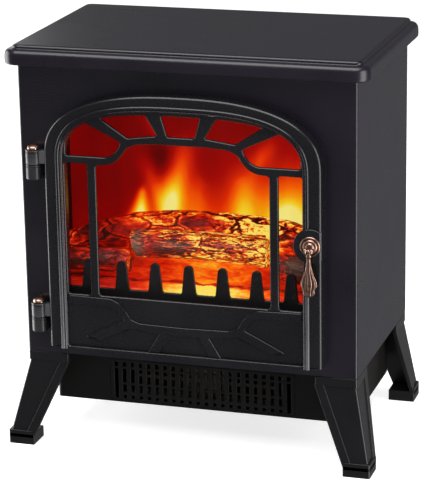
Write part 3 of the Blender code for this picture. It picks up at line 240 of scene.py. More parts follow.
def blend_colour(share, first, second):
    """Two colours mixed by a share. Each is a link, or three numbers."""
    made = add(share.id_data, "ShaderNodeMix", {"data_type": "RGBA"}, {0: share})
    for place_in_list, colour in ((6, first), (7, second)):
        linked = isinstance(colour, bpy.types.NodeSocket)
        feed(made, {place_in_list: colour if linked else (*colour, 1.0)})
    return made.outputs[2]


def bump(height, depth, strength=1.0):
    inputs = {"Height": height, "Distance": depth, "Strength": strength}
    return add(height.id_data, "ShaderNodeBump", inputs=inputs).outputs["Normal"]


def attribute(tree, name):
    return add(tree, "ShaderNodeAttribute", {"attribute_name": name}).outputs["Fac"]


def raised_edges(tree):
    """High on edges that stand out, low in hollows."""
    return add(tree, "ShaderNodeNewGeometry").outputs["Pointiness"]


# ---------------------------------------------------------------- materials


UNEVENNESS = 1.25


def coating(name, colour, roughness, texture, depth, specular=0.5, painted_edge_highlight=None):
    """Painted or moulded black surface with fine texture and uneven sheen, and perhaps a painted highlight:
    a paler base colour on the raised edges.
    """
    made, tree, shader = blank(name, colour, roughness, specular=specular)
    vector = place(tree)
    fine = grain(vector, texture)
    broad = grain(vector, 11.0, 2.0)
    light = tuple(part * UNEVENNESS for part in colour)
    dark = tuple(part / UNEVENNESS for part in colour)
    paint = blend_colour(grained(broad, 0.0, 1.0), dark, light)
    # Painted highlight: raised edges get a paler base colour, standing in for the light that catches them.
    if painted_edge_highlight:
        wear_and_highlight = plus(raised_edges(tree), grained(broad, -0.01, 0.01))
        share = spread(wear_and_highlight, 0.54, 0.62, 0.0, 1.0)
        paint = blend_colour(share, paint, (painted_edge_highlight, painted_edge_highlight, painted_edge_highlight * 1.06))
    sheen = plus(grained(broad, -0.03, 0.03), grained(fine, -0.03, 0.03))
    sheen = plus(sheen, roughness)
    feed(shader, {"Base Color": paint, "Roughness": sheen, "Normal": bump(fine, depth)})
    return made


def antique_copper(name):
    """Copper with dark patina left in its hollows and the raised parts rubbed bright."""
    made, tree, shader = blank(name, (0.4, 0.2, 0.12), 0.3, metallic=1.0)
    vector = place(tree)
    fine = grain(vector, 900.0)
    broad = grain(vector, 160.0, 3.0)
    wear_and_highlight = plus(raised_edges(tree), grained(broad, -0.02, 0.02))
    stops = [(0.42, (0.02, 0.012, 0.01)), (0.48, (0.13, 0.075, 0.058)), (0.53, (0.48, 0.29, 0.22))]
    stops.append((0.6, (0.9, 0.64, 0.52)))
    sheen = spread(wear_and_highlight, 0.44, 0.56, 0.5, 0.22)
    feed(shader, {"Base Color": ramp(wear_and_highlight, stops), "Roughness": sheen})
    feed(shader, {"Normal": bump(fine, 0.00004)})
    return made


def clear_pane(name):
    made, tree, shader = blank(name, (0.004, 0.004, 0.004), 0.02)
    smear = grain(place(tree), 14.0, 2.0)
    feed(shader, {"Alpha": 0.06, "Roughness": spread(smear, 0.35, 0.7, 0.0, 0.02)})
    return made


FIRE = [
    (0.0, (0.03, 0.0, 0.0)),
    (0.16, (0.13, 0.0, 0.0)),
    (0.34, (0.40, 0.001, 0.0)),
    (0.50, (0.78, 0.022, 0.0)),
    (0.64, (1.0, 0.12, 0.0)),
    (0.78, (1.0, 0.36, 0.002)),
    (0.90, (1.0, 0.70, 0.02)),
    (1.0, (1.0, 0.93, 0.30)),
]


EMBER = [
    (0.0, (0.014, 0.001, 0.0)),
    (0.2, (0.085, 0.001, 0.0)),
    (0.4, (0.33, 0.003, 0.0)),
    (0.56, (0.66, 0.012, 0.001)),
    (0.70, (0.98, 0.085, 0.002)),
    (0.84, (1.0, 0.36, 0.012)),
    (1.0, (1.0, 0.80, 0.12)),
]


def fire_picture(name):
    """Frosted screen lit from behind: soft flames that fade into deep red."""
    made, tree, shader = blank(name, (0.02, 0.001, 0.001), 0.6, specular=0.1)
    streak = grain(place(tree, (60.0, 1.0, 9.0)), 1.0, 3.0)
    heat = plus(attribute(tree, "fire_heat"), grained(streak, -0.018, 0.018))
    feed(shader, {"Emission Color": ramp(heat, FIRE), "Emission Strength": 0.97})
    frost = grain(place(tree), 1200.0)
    feed(shader, {"Normal": bump(frost, 0.00005)})
    return made


def warped(vector):
    """Coordinates pushed about unevenly, so that what is drawn on them bends."""
    tree = vector.id_data
    push = add(tree, "ShaderNodeTexNoise", inputs={"Vector": vector, "Scale": 1.6, "Detail": 4.0})
    inputs = {"Vector": push.outputs["Color"], "Scale": 0.9}
    push = add(tree, "ShaderNodeVectorMath", {"operation": "SCALE"}, inputs).outputs["Vector"]
    return add(tree, "ShaderNodeVectorMath", {"operation": "ADD"}, {0: vector, 1: push}).outputs["Vector"]


def veins(vector, scale, width):
    """Thin wandering lines, 1 along each line and 0 between them."""
    ridge = sums("SUBTRACT", grain(vector, scale, 4.0, 0.6, 0.4), 0.5)
    return spread(sums("ABSOLUTE", ridge, 0.0), 0.0, width, 1.0, 0.0)


def glowing_log(name, fibre, seed, plates):
    """Cast resin log lit from inside: plates of bark, dark fissures, bright veins, flecks of grey paint."""
    made, tree, shader = blank(name, (0.05, 0.01, 0.005), 0.42)
    long = moved(place(tree), {"Location": (seed, seed, seed)})
    long = moved(long, {"Scale": fibre})
    bent = warped(long)
    inputs = {"Vector": bent, "Scale": 0.8}
    cells = add(tree, "ShaderNodeTexVoronoi", {"feature": "DISTANCE_TO_EDGE"}, inputs)
    edge = cells.outputs["Distance"]
    crack = spread(edge, 0.01, 0.05, 1.0, 0.0)
    seam = spread(edge, 0.03, 0.08, 0.0, 1.0)
    seam = times(seam, spread(edge, 0.08, 0.2, 1.0, 0.0))
    fissure = veins(bent, 1.5, 0.035)
    vein = veins(long, 2.4, 0.06)
    mottle = grain(bent, 1.0, 6.0, 0.7)
    fine = grain(long, 5.0, 4.0, 0.7)
    rough = attribute(tree, "bark")
    soot = attribute(tree, "soot")
    patches = spread(mottle, 0.37, 0.63, -0.55, 0.55)
    specks = spread(fine, 0.34, 0.66, -0.32, 0.32)
    uneven = times(plus(patches, specks), plus(rough, 0.1))
    heat = plus(attribute(tree, "glow"), uneven)
    heat = plus(heat, times(vein, times(rough, 0.34)))
    heat = plus(heat, times(seam, times(rough, plates)))
    lines = sums("MAXIMUM", times(crack, plates + 0.4), fissure)
    lines = times(lines, rough)
    heat = sums("SUBTRACT", heat, times(lines, 0.8))
    heat = sums("SUBTRACT", heat, times(soot, plus(patches, 0.5)), clamp=True)
    feed(shader, {"Emission Color": ramp(heat, EMBER), "Emission Strength": 1.0})
    height = sums("SUBTRACT", plus(mottle, times(fine, 0.3)), lines)
    shell = blend_colour(soot, (0.045, 0.008, 0.004), (0.20, 0.17, 0.11))
    feed(shader, {"Base Color": shell, "Normal": bump(height, 0.0016, 0.9)})
    return made


def metal(name, colour, roughness, texture, depth):
    """Plated or bare sheet metal with a faint rolled grain and cloudy sheen."""
    made, tree, shader = blank(name, colour, roughness, metallic=1.0)
    rolled = grain(place(tree, (12.0, texture, texture)), 1.0, 4.0)
    cloud = grain(place(tree), 35.0, 3.0)
    light = tuple(min(part * 1.15, 1.0) for part in colour)
    dark = tuple(part * 0.75 for part in colour)
    plating = blend_colour(grained(cloud, 0.0, 1.0), dark, light)
    sheen = grained(rolled, roughness - 0.08, roughness + 0.1)
    feed(shader, {"Base Color": plating, "Roughness": sheen, "Normal": bump(rolled, depth)})
    return made


def speckled(name, colour, other, roughness, scale):
    """Matt material mottled with a second colour, such as ceramic or a circuit board."""
    made, tree, shader = blank(name, colour, roughness)
    flecks = grain(place(tree), scale, 5.0)
    mottled = blend_colour(spread(flecks, 0.4, 0.62, 0.0, 1.0), colour, other)
    feed(shader, {"Base Color": mottled, "Normal": bump(flecks, 0.00012)})
    return made


def studio_floor(name):
    made, _, shader = blank(name, (0.8, 0.8, 0.8), 0.9, specular=0.0)
    feed(shader, {"Emission Color": (1.0, 1.0, 1.0, 1.0), "Emission Strength": 0.74})
    return made


# ---------------------------------------------------------------- outlines


def limited(value):
    """The value, kept between 0 and 1."""
    return min(max(value, 0.0), 1.0)


def evenly(low, high, parts):
    """Values from a low one to a high one, in even steps."""
    return [low + (high - low) * step / parts for step in range(parts + 1)]


def circle(steps):
    """The angles of points spaced evenly round a full turn."""
    return [2 * math.pi * step / steps for step in range(steps)]


def arc(centre, radius, start, end, steps):
    """Points along an arc between two angles in degrees."""
    angles = [math.radians(angle) for angle in evenly(start, end, steps)]
    return [(centre[0] + radius * math.cos(a), centre[1] + radius * math.sin(a)) for a in angles]


def rounded_rectangle(x_range, z_range, radius, steps=8):
    x_low, x_high = x_range
    z_low, z_high = z_range
    outline = arc((x_high - radius, z_low + radius), radius, -90, 0, steps)
    outline += arc((x_high - radius, z_high - radius), radius, 0, 90, steps)
    outline += arc((x_low + radius, z_high - radius), radius, 90, 180, steps)
    outline += arc((x_low + radius, z_low + radius), radius, 180, 270, steps)
    return outline


def arch_points(half_width, spring, top, power, steps=80):
    """The curve of an arch from its right springing over the crown to its left one."""
    points = []
    for step in range(steps + 1):
        angle = math.pi * step / steps
        across = math.copysign(abs(math.cos(angle)) ** (2 / power), math.cos(angle))
        up = abs(math.sin(angle)) ** (2 / power)
        points.append((half_width * across, spring + (top - spring) * up))
    return points


def arched_outline(half_width, bottom, spring, top, power):
    """An arch over upright sides, with a small round at each foot."""
    side, up = half_width - ARCH_FOOT_RADIUS, bottom + ARCH_FOOT_RADIUS
    outline = arc((side, up), ARCH_FOOT_RADIUS, -90, 0, 6)
    outline += arch_points(half_width, spring, top, power)
    outline += arc((-side, up), ARCH_FOOT_RADIUS, 180, 270, 6)
    return outline


def mirrored(points):
    return [(-across, up) for across, up in reversed(points)]


def softened(points, radius, steps=6):
    """An outline with each corner replaced by a short curve."""
    outline = []
    count = len(points)
    for index, corner in enumerate(points):
        here = Vector(corner)
        before = Vector(points[index - 1]) - here
        after = Vector(points[(index + 1) % count]) - here
        reach = min(radius, before.length / 2.2, after.length / 2.2)
        start = here + before.normalized() * reach
        end = here + after.normalized() * reach
        for step in range(steps + 1):
            share = step / steps
            bend = start.lerp(here, share).lerp(here.lerp(end, share), share)
            outline.append((bend.x, bend.y))
    return outline


def finer(points, parts):
    """An open run of points with a smooth curve drawn through them."""
    run = [Vector(point) for point in points]
    made = []
    for index in range(len(run) - 1):
        before = run[max(index - 1, 0)]
        start, end = run[index], run[index + 1]
        after = run[min(index + 2, len(run) - 1)]
        for step in range(parts):
            t = step / parts
            spot = 2 * start + (end - before) * t + (2 * before - 5 * start + 4 * end - after) * t * t
            spot += (3 * start - before - 3 * end + after) * t * t * t
            made.append(tuple(spot / 2))
    made.append(tuple(run[-1]))
    return made


def evened(points, parts):
    """An open run of points, spaced evenly along X."""
    made = []
    index = 0
    for step in range(parts + 1):
        x = points[0][0] + (points[-1][0] - points[0][0]) * step / parts
        while index < len(points) - 2 and points[index + 1][0] < x:
            index += 1
        start, end = Vector(points[index]), Vector(points[index + 1])
        made.append(tuple(start.lerp(end, limited((x - start[0]) / (end[0] - start[0])))))
    return made


# ---------------------------------------------------------------- meshes


def put(point, axis, height):
    first, second = point
    if axis == "X":
        return (height, first, second)
    if axis == "Y":
        return (first, height, second)
    return (first, second, height)


def stand(name, data):
    """A new object in the scene."""
    made = bpy.data.objects.new(name, data)
    bpy.context.scene.collection.objects.link(made)
    return made


def work_mesh(solid):
    """A mesh made from a solid, which is used up."""
    mesh = bpy.data.meshes.new("work")
    solid.to_mesh(mesh)
    solid.free()
    return mesh


def work_solid(mesh):
    """A solid made from a mesh, which is used up."""
    solid = bmesh.new()
    solid.from_mesh(mesh)
    bpy.data.meshes.remove(mesh)
    return solid


def finished_mesh(holder):
    """The mesh that an object has once its curves or modifiers are worked out."""
    graph = bpy.context.evaluated_depsgraph_get()
    return bpy.data.meshes.new_from_object(holder.evaluated_get(graph))


def mesh_of(solid):
    """A mesh, in metres, of a solid that was built in millimetres round the centre line."""
    bmesh.ops.recalc_face_normals(solid, faces=solid.faces)
    bmesh.ops.translate(solid, vec=(0, SHIFT, 0), verts=solid.verts)
    bmesh.ops.scale(solid, vec=(MM, MM, MM), verts=solid.verts)
    return work_mesh(solid)


def bridge(solid, lower, upper, around=True):
    """Faces between two rings, or two open lines, of equally many points."""
    count = len(lower)
    for index in range(count if around else count - 1):
        after = (index + 1) % count
        solid.faces.new((lower[index], lower[after], upper[after], upper[index]))


def loft(loops):
    """A solid through loops of equally many points, with a face at each end."""
    solid = bmesh.new()
    rings = [[solid.verts.new(point) for point in loop] for loop in loops]
    for lower, upper in zip(rings, rings[1:]):
        bridge(solid, lower, upper)
    solid.faces.new(rings[0])
    solid.faces.new(rings[-1])
    bmesh.ops.recalc_face_normals(solid, faces=solid.faces)
    return solid


def rounded_edges(solid, width, segments=3):
    """Rounds every edge of a solid that is sharper than SHARP_EDGE."""
    edges = [edge for edge in solid.edges if edge.calc_face_angle(0.0) > SHARP_EDGE]
    bmesh.ops.bevel(
        solid, geom=edges, offset=width, segments=segments, profile=0.5, affect="EDGES", clamp_overlap=True
    )
    return solid


def prism(outline, axis, low, high):
    return loft([[put(point, axis, height) for point in outline] for height in (low, high)])


def block(x_range, y_range, z_range, width=0.6, segments=2):
    x_low, x_high = x_range
    y_low, y_high = y_range
    outline = [(x_low, y_low), (x_high, y_low), (x_high, y_high), (x_low, y_high)]
    return rounded_edges(prism(outline, "Z", *z_range), width, segments)


def turned(profile, axis, centre, steps=64):
    """A solid of revolution. The profile is (radius, height) from one end to the other."""
    solid = bmesh.new()
    rings = []
    for radius, height in profile:
        if radius < 1e-6:
            rings.append([solid.verts.new(put(centre, axis, height))])
            continue
        ring = []
        for angle in circle(steps):
            spot = (centre[0] + radius * math.cos(angle), centre[1] + radius * math.sin(angle))
            ring.append(solid.verts.new(put(spot, axis, height)))
        rings.append(ring)
    for lower, upper in zip(rings, rings[1:]):
        for index in range(steps):
            after = (index + 1) % steps
            corners = [lower[index % len(lower)], lower[after % len(lower)]]
            corners += [upper[after % len(upper)], upper[index % len(upper)]]
            solid.faces.new(list(dict.fromkeys(corners)))
    for ring in (rings[0], rings[-1]):
        if len(ring) > 1:
            solid.faces.new(ring)
    bmesh.ops.recalc_face_normals(solid, faces=solid.faces)
    return solid


def plate(outline, holes, front, back, edge, steps=2):
    """An upright plate with holes, and all its edges rounded."""
    curve = bpy.data.curves.new("work", "CURVE")
    curve.dimensions = "2D"
    curve.fill_mode = "BOTH"
    curve.bevel_depth = edge
    curve.bevel_resolution = steps
    curve.offset = -edge
    curve.extrude = (back - front) / 2 - edge
    for loop in [outline, *holes]:
        spline = curve.splines.new("POLY")
        spline.points.add(len(loop) - 1)
        spline.use_cyclic_u = True
        for point, (x, z) in zip(spline.points, loop):
            point.co = (x, z, 0.0, 1.0)
    holder = stand("work", curve)
    mesh = finished_mesh(holder)
    bpy.data.objects.remove(holder)
    bpy.data.curves.remove(curve)
    mesh.transform(Matrix.Translation((0, (front + back) / 2, 0)) @ Matrix.Rotation(math.pi / 2, 4, "X"))
    solid = work_solid(mesh)
    bmesh.ops.remove_doubles(solid, verts=solid.verts, dist=0.002)
    return solid


def swept(path, profile):
    """A moulding along an open path in the door's plane. The profile is (distance across, depth)."""
    loops = []
    for index, point in enumerate(path):
        here = Vector(point)
        along = (Vector(path[min(index + 1, len(path) - 1)]) - Vector(path[max(index - 1, 0)])).normalized()
        across = Vector((-along.y, along.x))
        loop = []
        for offset, depth in profile:
            spot = here + across * offset
            loop.append((spot.x, depth, spot.y))
        loops.append(loop)
    return loft(loops)


def cut(solid, cutter):
    """A solid with another solid taken out of it."""
    holders = [stand("work", work_mesh(part)) for part in (solid, cutter)]
    step = holders[0].modifiers.new("step", "BOOLEAN")
    step.operation = "DIFFERENCE"
    step.solver = "EXACT"
    step.object = holders[1]
    result = work_solid(finished_mesh(holders[0]))
    for holder in holders:
        data = holder.data
        bpy.data.objects.remove(holder)
        bpy.data.meshes.remove(data)
    bmesh.ops.dissolve_limit(result, angle_limit=0.0005, verts=result.verts, edges=result.edges)
    return result


def merged(solids):
    """Several solids as one."""
    together = bmesh.new()
    for solid in solids:
        mesh = work_mesh(solid)
        together.from_mesh(mesh)
        bpy.data.meshes.remove(mesh)
    return together


# ---------------------------------------------------------------- pieces


def piece(name, solid, finish, replaced, body="cabinet", smooth=40.0, weighted=True):
    """One visible piece that moves with a CAD body and stands for a CAD node."""
    mesh = mesh_of(solid)
    mesh.name = name
    for face in mesh.polygons:
        face.use_smooth = True
    mesh.set_sharp_from_angle(angle=math.radians(smooth))
    mesh.materials.append(finish)
    made = stand(name, mesh)
    if weighted:
        shading = made.modifiers.new("even_shading", "WEIGHTED_NORMAL")
        shading.keep_sharp = True
    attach(made, body)
    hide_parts(replaced)


def repaint(names, finish):
    """A CAD node keeps its shape and gets a better finish."""
    for name in names:
        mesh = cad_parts[name].data
        if not mesh.materials:
            mesh.materials.append(finish)
        for index in range(len(mesh.materials)):
            mesh.materials[index] = finish


# ---------------------------------------------------------------- cabinet


def slab_loop(inset, height):
    half = SLAB_WIDTH / 2 - inset
    radius = max(SLAB_CORNER - inset, 1.5)
    outline = rounded_rectangle((-half, half), (SLAB_FRONT + inset, SLAB_REAR - inset), radius, 14)
    return [(x, y, CABINET_TOP + height) for x, y in outline]


def top_slab():
    top = [(13.4, 21.7), (11.6, 21.4), (10.2, 20.6), (9.4, 19.4), (9.2, 17.9)]
    cove = [(9.2, 17.9), (8.8, 17.35), (8.2, 17.15), (6.8, 17.1)]
    lip = [(6.8, 17.1), (4.4, 16.6), (2.3, 15.3), (0.9, 13.2), (0.2, 10.6), (0.0, 8.0)]
    foot = [(0.0, 8.0), (0.0, 2.8), (0.15, 1.6), (0.6, 0.7), (1.4, 0.15), (2.4, 0.0)]
    outer = finer(top, 3)[:-1] + finer(cove, 2)[:-1] + finer(lip, 3)[:-1] + foot
    inner = [(24.0, 0.0), (24.0, SLAB_WALL), (2.6, SLAB_WALL), (SLAB_WALL, 3.4), (SLAB_WALL, 8.0)]
    inner += [(5.2, 15.3), (10.1, 16.0), (10.5, 18.6), (13.8, 20.5)]
    return loft([slab_loop(inset, height) for inset, height in outer + inner])


def wrap_outline():
    """Plan of the bent sheet: front and both sides, with a return along each rear edge."""
    back = REAR - SHEET - GAP
    half = HALF_WIDTH
    corners = [(-half, back), (-half, FRONT), (half, FRONT), (half, back)]
    centres = [(-1, -1), (-1, 1), (1, 1), (1, -1)]
    starts = [90, 180, 270, 0]
    outer, inner = [(-half + REAR_RETURN, back)], [(-half + REAR_RETURN, back - SHEET)]
    for (x, y), (side, depth), start in zip(corners, centres, starts):
        centre = (x - side * BEND_RADIUS, y + depth * BEND_RADIUS)
        outer += arc(centre, BEND_RADIUS, start, start + 90, 12)
        inner += arc(centre, BEND_RADIUS - SHEET, start, start + 90, 12)
    outer.append((half - REAR_RETURN, back))
    inner.append((half - REAR_RETURN, back - SHEET))
    return outer + inner[::-1]


def opening_outline():
    x, corner, steps = OPENING_HALF_WIDTH, OPENING_CORNER, 16
    outline = [(-x, OPENING_BOTTOM), (x, OPENING_BOTTOM)]
    outline += arc((x - corner, OPENING_TOP - corner), corner, 0, 90, steps)
    outline += arc((-x + corner, OPENING_TOP - corner), corner, 90, 180, steps)
    return outline


def cabinet_wrap():
    wrap = prism(wrap_outline(), "Z", CABINET_BOTTOM + GAP, CABINET_TOP - GAP)
    return cut(wrap, prism(opening_outline(), "Y", FRONT - 5, FRONT + 5))


def leg_corner(height, proud, splay):
    """The outer corner of a leg at a height, and the share of its length above that."""
    share = limited((CABINET_BOTTOM - LEG_BAND - height) / (CABINET_BOTTOM - LEG_BAND - LEG_FOOT_HEIGHT))
    x = HALF_WIDTH + splay[0] * share - LEG_PROUD + proud
    return x, -FRONT + splay[1] * share - LEG_PROUD + proud, share


def leg_loop(height, proud, wall, splay):
    """L-shaped section of a leg at a height."""
    x, y, share = leg_corner(height, proud, splay)
    width = LEG_TOP_WIDTH + (LEG_FOOT_WIDTH - LEG_TOP_WIDTH) * share
    radius = LEG_EDGE_RADIUS
    outline = [(x - width, y), *arc((x - radius, y - radius), radius, 90, 0, 8), (x, y - width)]
    outline += [(x - wall, y - width), (x - wall, y - wall), (x - width, y - wall)]
    return [(across, depth, height) for across, depth in outline]


def border_loop(height, along_x, splay):
    """Section of the raised border that follows a leg's inner edge."""
    x, y, share = leg_corner(height, 0.0, splay)
    width = LEG_TOP_WIDTH + (LEG_FOOT_WIDTH - LEG_TOP_WIDTH) * share
    near, far, out = width - LEG_BORDER, width, LEG_PROUD
    if along_x:
        outline = [(x - far, y - 1), (x - near, y - 1), (x - near - 0.4, y + out), (x - far, y + out)]
    else:
        outline = [(x - 1, y - far), (x - 1, y - near), (x + out, y - near - 0.4), (x + out, y - far)]
    return [(across, depth, height) for across, depth in outline]


def leg(side, depth):
    """Moulded corner leg: band under the cabinet, splayed angle with raised borders, solid foot."""
    top, foot = CABINET_BOTTOM, LEG_FOOT_HEIGHT
    under = top - LEG_BAND
    splay = LEG_FRONT_SPLAY if depth < 0 else LEG_REAR_SPLAY
    parts = [loft([leg_loop(height, 0.0, LEG_WALL, splay) for height in (top - 1, under, foot - 2)])]
    band = loft([leg_loop(height, LEG_PROUD, LEG_WALL + LEG_PROUD, splay) for height in (top - GAP, under)])
    parts.append(rounded_edges(band, 0.7))
    for along_x in (True, False):
        ledge = loft([border_loop(height, along_x, splay) for height in (under + 1, foot - 1)])
        parts.append(rounded_edges(ledge, 0.45))
    x, y, _ = leg_corner(0.0, LEG_PROUD, splay)
    pad = LEG_FOOT_WIDTH + LEG_PROUD
    corner = arc((x - LEG_EDGE_RADIUS, y - LEG_EDGE_RADIUS), LEG_EDGE_RADIUS, 90, 0, 8)
    pad_outline = [(x - pad, y), *corner, (x, y - pad), (x - pad, y - pad)]
    parts.append(rounded_edges(prism(pad_outline, "Z", 0.0, foot + 1.0), 0.7))
    sill = prism([(x - pad, y), *corner, (x, y - pad), (x - 4, y - 4)], "Z", 8.0, foot + 4.5)
    parts.append(rounded_edges(sill, 0.5))
    made = merged(parts)
    bmesh.ops.scale(made, vec=(side, depth, 1), verts=made.verts)
    if side * depth < 0:
        bmesh.ops.reverse_faces(made, faces=made.faces)
    return made


def outlet_grille():
    half = GRILLE_WIDTH / 2
    outline = rounded_rectangle((-half, half), (GRILLE_BOTTOM, GRILLE_TOP), 1.0, 3)
    slots = []
    for column in range(GRILLE_COLUMNS):
        x = (column - (GRILLE_COLUMNS - 1) / 2) * GRILLE_PITCH
        edges = (x - GRILLE_SLOT / 2, x + GRILLE_SLOT / 2)
        rows = GRILLE_ROWS
        if column in (0, GRILLE_COLUMNS - 1):
            rows = ((GRILLE_ROWS[0][0], GRILLE_ROWS[2][1]), GRILLE_ROWS[3])
        slots += [rounded_rectangle(edges, row, 0.8, 3) for row in rows]
    return plate(outline, slots, HOUSING_FRONT, HOUSING_FRONT + GRILLE_THICKNESS, 0.45)


# ---------------------------------------------------------------- door


def hole_outlines():
    """The door's openings: window lights and the five lights of the sunburst."""
    arch = arch_points(WINDOW_HALF_WIDTH, WINDOW_SPRING, WINDOW_TOP, WINDOW_ARCH_POWER, 96)

    def arch_between(start, end):
        return [point for point in arch if start < point[0] < end]

    side = [(BAR_OUTER, WINDOW_BOTTOM), (WINDOW_HALF_WIDTH, WINDOW_BOTTOM)]
    side += [(WINDOW_HALF_WIDTH, SIDE_LIGHT_TOP), (BAR_OUTER, SIDE_LIGHT_TOP)]
    head = [(BAR_INNER, 338.5), (86, 339.5), (76, 344), (68, 353), (64, 360), (52, 365), (28, 366.5)]
    main = [(-BAR_INNER, WINDOW_BOTTOM), (BAR_INNER, WINDOW_BOTTOM), *head, *mirrored(head)]
    end_light = [(135.5, 348.5), *arch_between(111, 135), (70.5, 367), (72, 361), (78, 353), (87, 348.5)]
    shoulder = [(62, 372), *arch_between(36.5, 93), (27.5, 376.5)]
    crown = [(15.5, 376), *arch_between(-26.5, 26.5), (-15.5, 376)]
    right = [softened(side, 3), softened(end_light, 3), softened(shoulder, 2)]
    return [*right, *[mirrored(outline) for outline in right], softened(main, 4), softened(crown, 2)]


def sunburst_relief():
    """Raised bars on the solid foot of the door, the window's sunburst turned upside down."""
    low = RELIEF_MIRROR
    upper = [(136, 338.5), (86, 339.5), (76, 344), (68, 353), (63, 362), (52, 366), (0, 367)]
    lower = [(28, 377), (62, 373), (71, 365), (72, 361), (78, 353), (87, 349), (136, 348.5)]
    upper = [(x, low - z) for x, z in upper]
    lower = [(x, low - z) for x, z in lower]
    outline = upper + mirrored(upper)[1:] + mirrored(lower) + lower
    steep = [(15, 149), (28.5, 149), (43, 124.8), (29, 124.8)]
    slanted = [(60, 152), (70, 160.5), (117, 137.5), (100, 133.5)]
    shapes = [softened(outline, 2.0, 3)]
    for bar in (steep, slanted):
        shapes += [softened(bar, 1.0, 3), mirrored(softened(bar, 1.0, 3))]
    return [plate(shape, [], DOOR_FACE - RELIEF_HEIGHT, DOOR_FACE + 2.0, 1.1, 3) for shape in shapes]


def bead_outline(inset, lift):
    """The arch of the bead, drawn in by an inset, with its foot lifted off the door's bottom."""
    half, top = BEAD_HALF_WIDTH - inset, BEAD_TOP - inset
    return arched_outline(half, DOOR_BOTTOM + lift, BEAD_SPRING, top, BEAD_ARCH_POWER)


def door_frame():
    """The door casting: rim, double bead, recessed lattice with its sunburst, boss and hinge knuckles."""
    outline = arched_outline(DOOR_HALF_WIDTH, DOOR_BOTTOM, DOOR_SPRING, DOOR_TOP, DOOR_ARCH_POWER)
    parts = [plate(outline, [bead_outline(4.5, 4)], DOOR_FRONT, DOOR_BACK, 3.6, 6)]
    parts.append(plate(bead_outline(2, 2), hole_outlines(), DOOR_FACE, LATTICE_BACK, 2.4, 5))
    parts += sunburst_relief()
    arch = arch_points(BEAD_HALF_WIDTH, BEAD_SPRING, BEAD_TOP, BEAD_ARCH_POWER, 120)
    path = [(BEAD_HALF_WIDTH, DOOR_BOTTOM + 1.0), *arch, (-BEAD_HALF_WIDTH, DOOR_BOTTOM + 1.0)]
    ridge = [(-3.5, 1.0), (-3.5, -0.2), (-3.1, -1.3), (-2.2, -2.1), (-1.1, -2.3), (0.0, -1.9), (0.8, -1.1)]
    ridge += [(1.4, -0.8), (2.0, -1.1), (2.6, -1.3), (3.2, -0.9), (3.5, -0.1), (3.5, 1.0)]
    parts.append(swept(path, [(across, DOOR_FRONT + depth) for across, depth in finer(ridge, 3)]))
    boss_edge = DOOR_HALF_WIDTH - 0.2 - HANDLE_X
    limit = math.degrees(math.acos(boss_edge / BOSS_RADIUS))
    boss = arc((HANDLE_X, HANDLE_Z), BOSS_RADIUS, limit, 360 - limit, 64)
    parts.append(plate(boss, [], DOOR_FRONT - BOSS_HEIGHT, LATTICE_BACK - 1.7, 1.2, 3))
    for low in (HINGE_LOWER, HINGE_UPPER):
        bottom, top = low + KNUCKLE_LENGTH + GAP, low + 2 * KNUCKLE_LENGTH
        parts.append(barrel(bottom, top))
        depth = (HINGE_Y - 4, HINGE_Y + 4)
        parts.append(block((HINGE_X, -DOOR_HALF_WIDTH + 2), depth, (bottom + 1, top - 1), 1.2))
    return merged(parts)


def barrel(low, high):
    """Turned knuckle with eased rims and a worked ring."""
    outer, bore = KNUCKLE_RADIUS, PIN_RADIUS + 0.4
    profile = [(bore, low), (outer - 1.0, low), (outer - 0.3, low + 0.3), (outer, low + 1.0)]
    ring = [(0.0, 3.2), (0.5, 2.9), (0.5, 2.4), (0.0, 2.1), (0.0, 1.0), (0.3, 0.3), (1.0, 0.0)]
    profile += [(outer - inset, high - below) for inset, below in ring]
    return turned([*profile, (bore, high)], "Z", (HINGE_X, HINGE_Y), 72)


def hinge_knuckle(low):
    high = low + KNUCKLE_LENGTH
    width = (HINGE_X - KNUCKLE_RADIUS, HINGE_X + KNUCKLE_RADIUS)
    leaf = block(width, (HINGE_Y + 3, FRONT - GAP), (low + 0.5, high - 0.5), 1.0)
    return merged([barrel(low, high), leaf])


def hinge_pin(low):
    top = low + 2 * KNUCKLE_LENGTH + GAP
    profile = [(0, low + 2.4), (PIN_RADIUS, low + 2.4), (PIN_RADIUS, top)]
    profile += [(FINIAL_RADIUS - 0.4, top), (FINIAL_RADIUS, top + 0.4)]
    for step in range(11):
        angle = 0.14 * step
        profile.append((FINIAL_RADIUS * math.cos(angle), top + 1.2 + 3.6 * math.sin(angle)))
    return turned([*profile, (0, top + 4.8)], "Z", (HINGE_X, HINGE_Y), 56)


def handle_rosette():
    """Stepped rosette with the lug that the drop hangs from."""
    steps = [(1.0, 0.3), (1.0, -0.6), (0.97, -1.3), (0.91, -1.7), (0.84, -1.5), (0.79, -0.9)]
    steps += [(0.74, -1.0), (0.68, -1.9), (0.6, -2.6), (0.52, -2.5), (0.47, -2.1), (0.42, -2.4)]
    steps += [(0.36, -3.2), (0.26, -3.8), (0.13, -4.0)]
    rings = [(ROSETTE_RADIUS * share, ROSETTE_FACE + out) for share, out in finer(steps, 3)]
    disc = turned([(0, ROSETTE_FACE + 0.3), *rings, (0, ROSETTE_FACE - 4.0)], "Y", (HANDLE_X, HANDLE_Z), 96)
    lugs = []
    for side in (-1, 1):
        x = sorted((HANDLE_X + side * 2.6, HANDLE_X + side * 4.6))
        lugs.append(block(x, (EYE_Y - 2.4, ROSETTE_FACE - 1), (EYE_Z - 2.6, EYE_Z + 2.6), 0.8, 3))
    return merged([disc, *lugs])


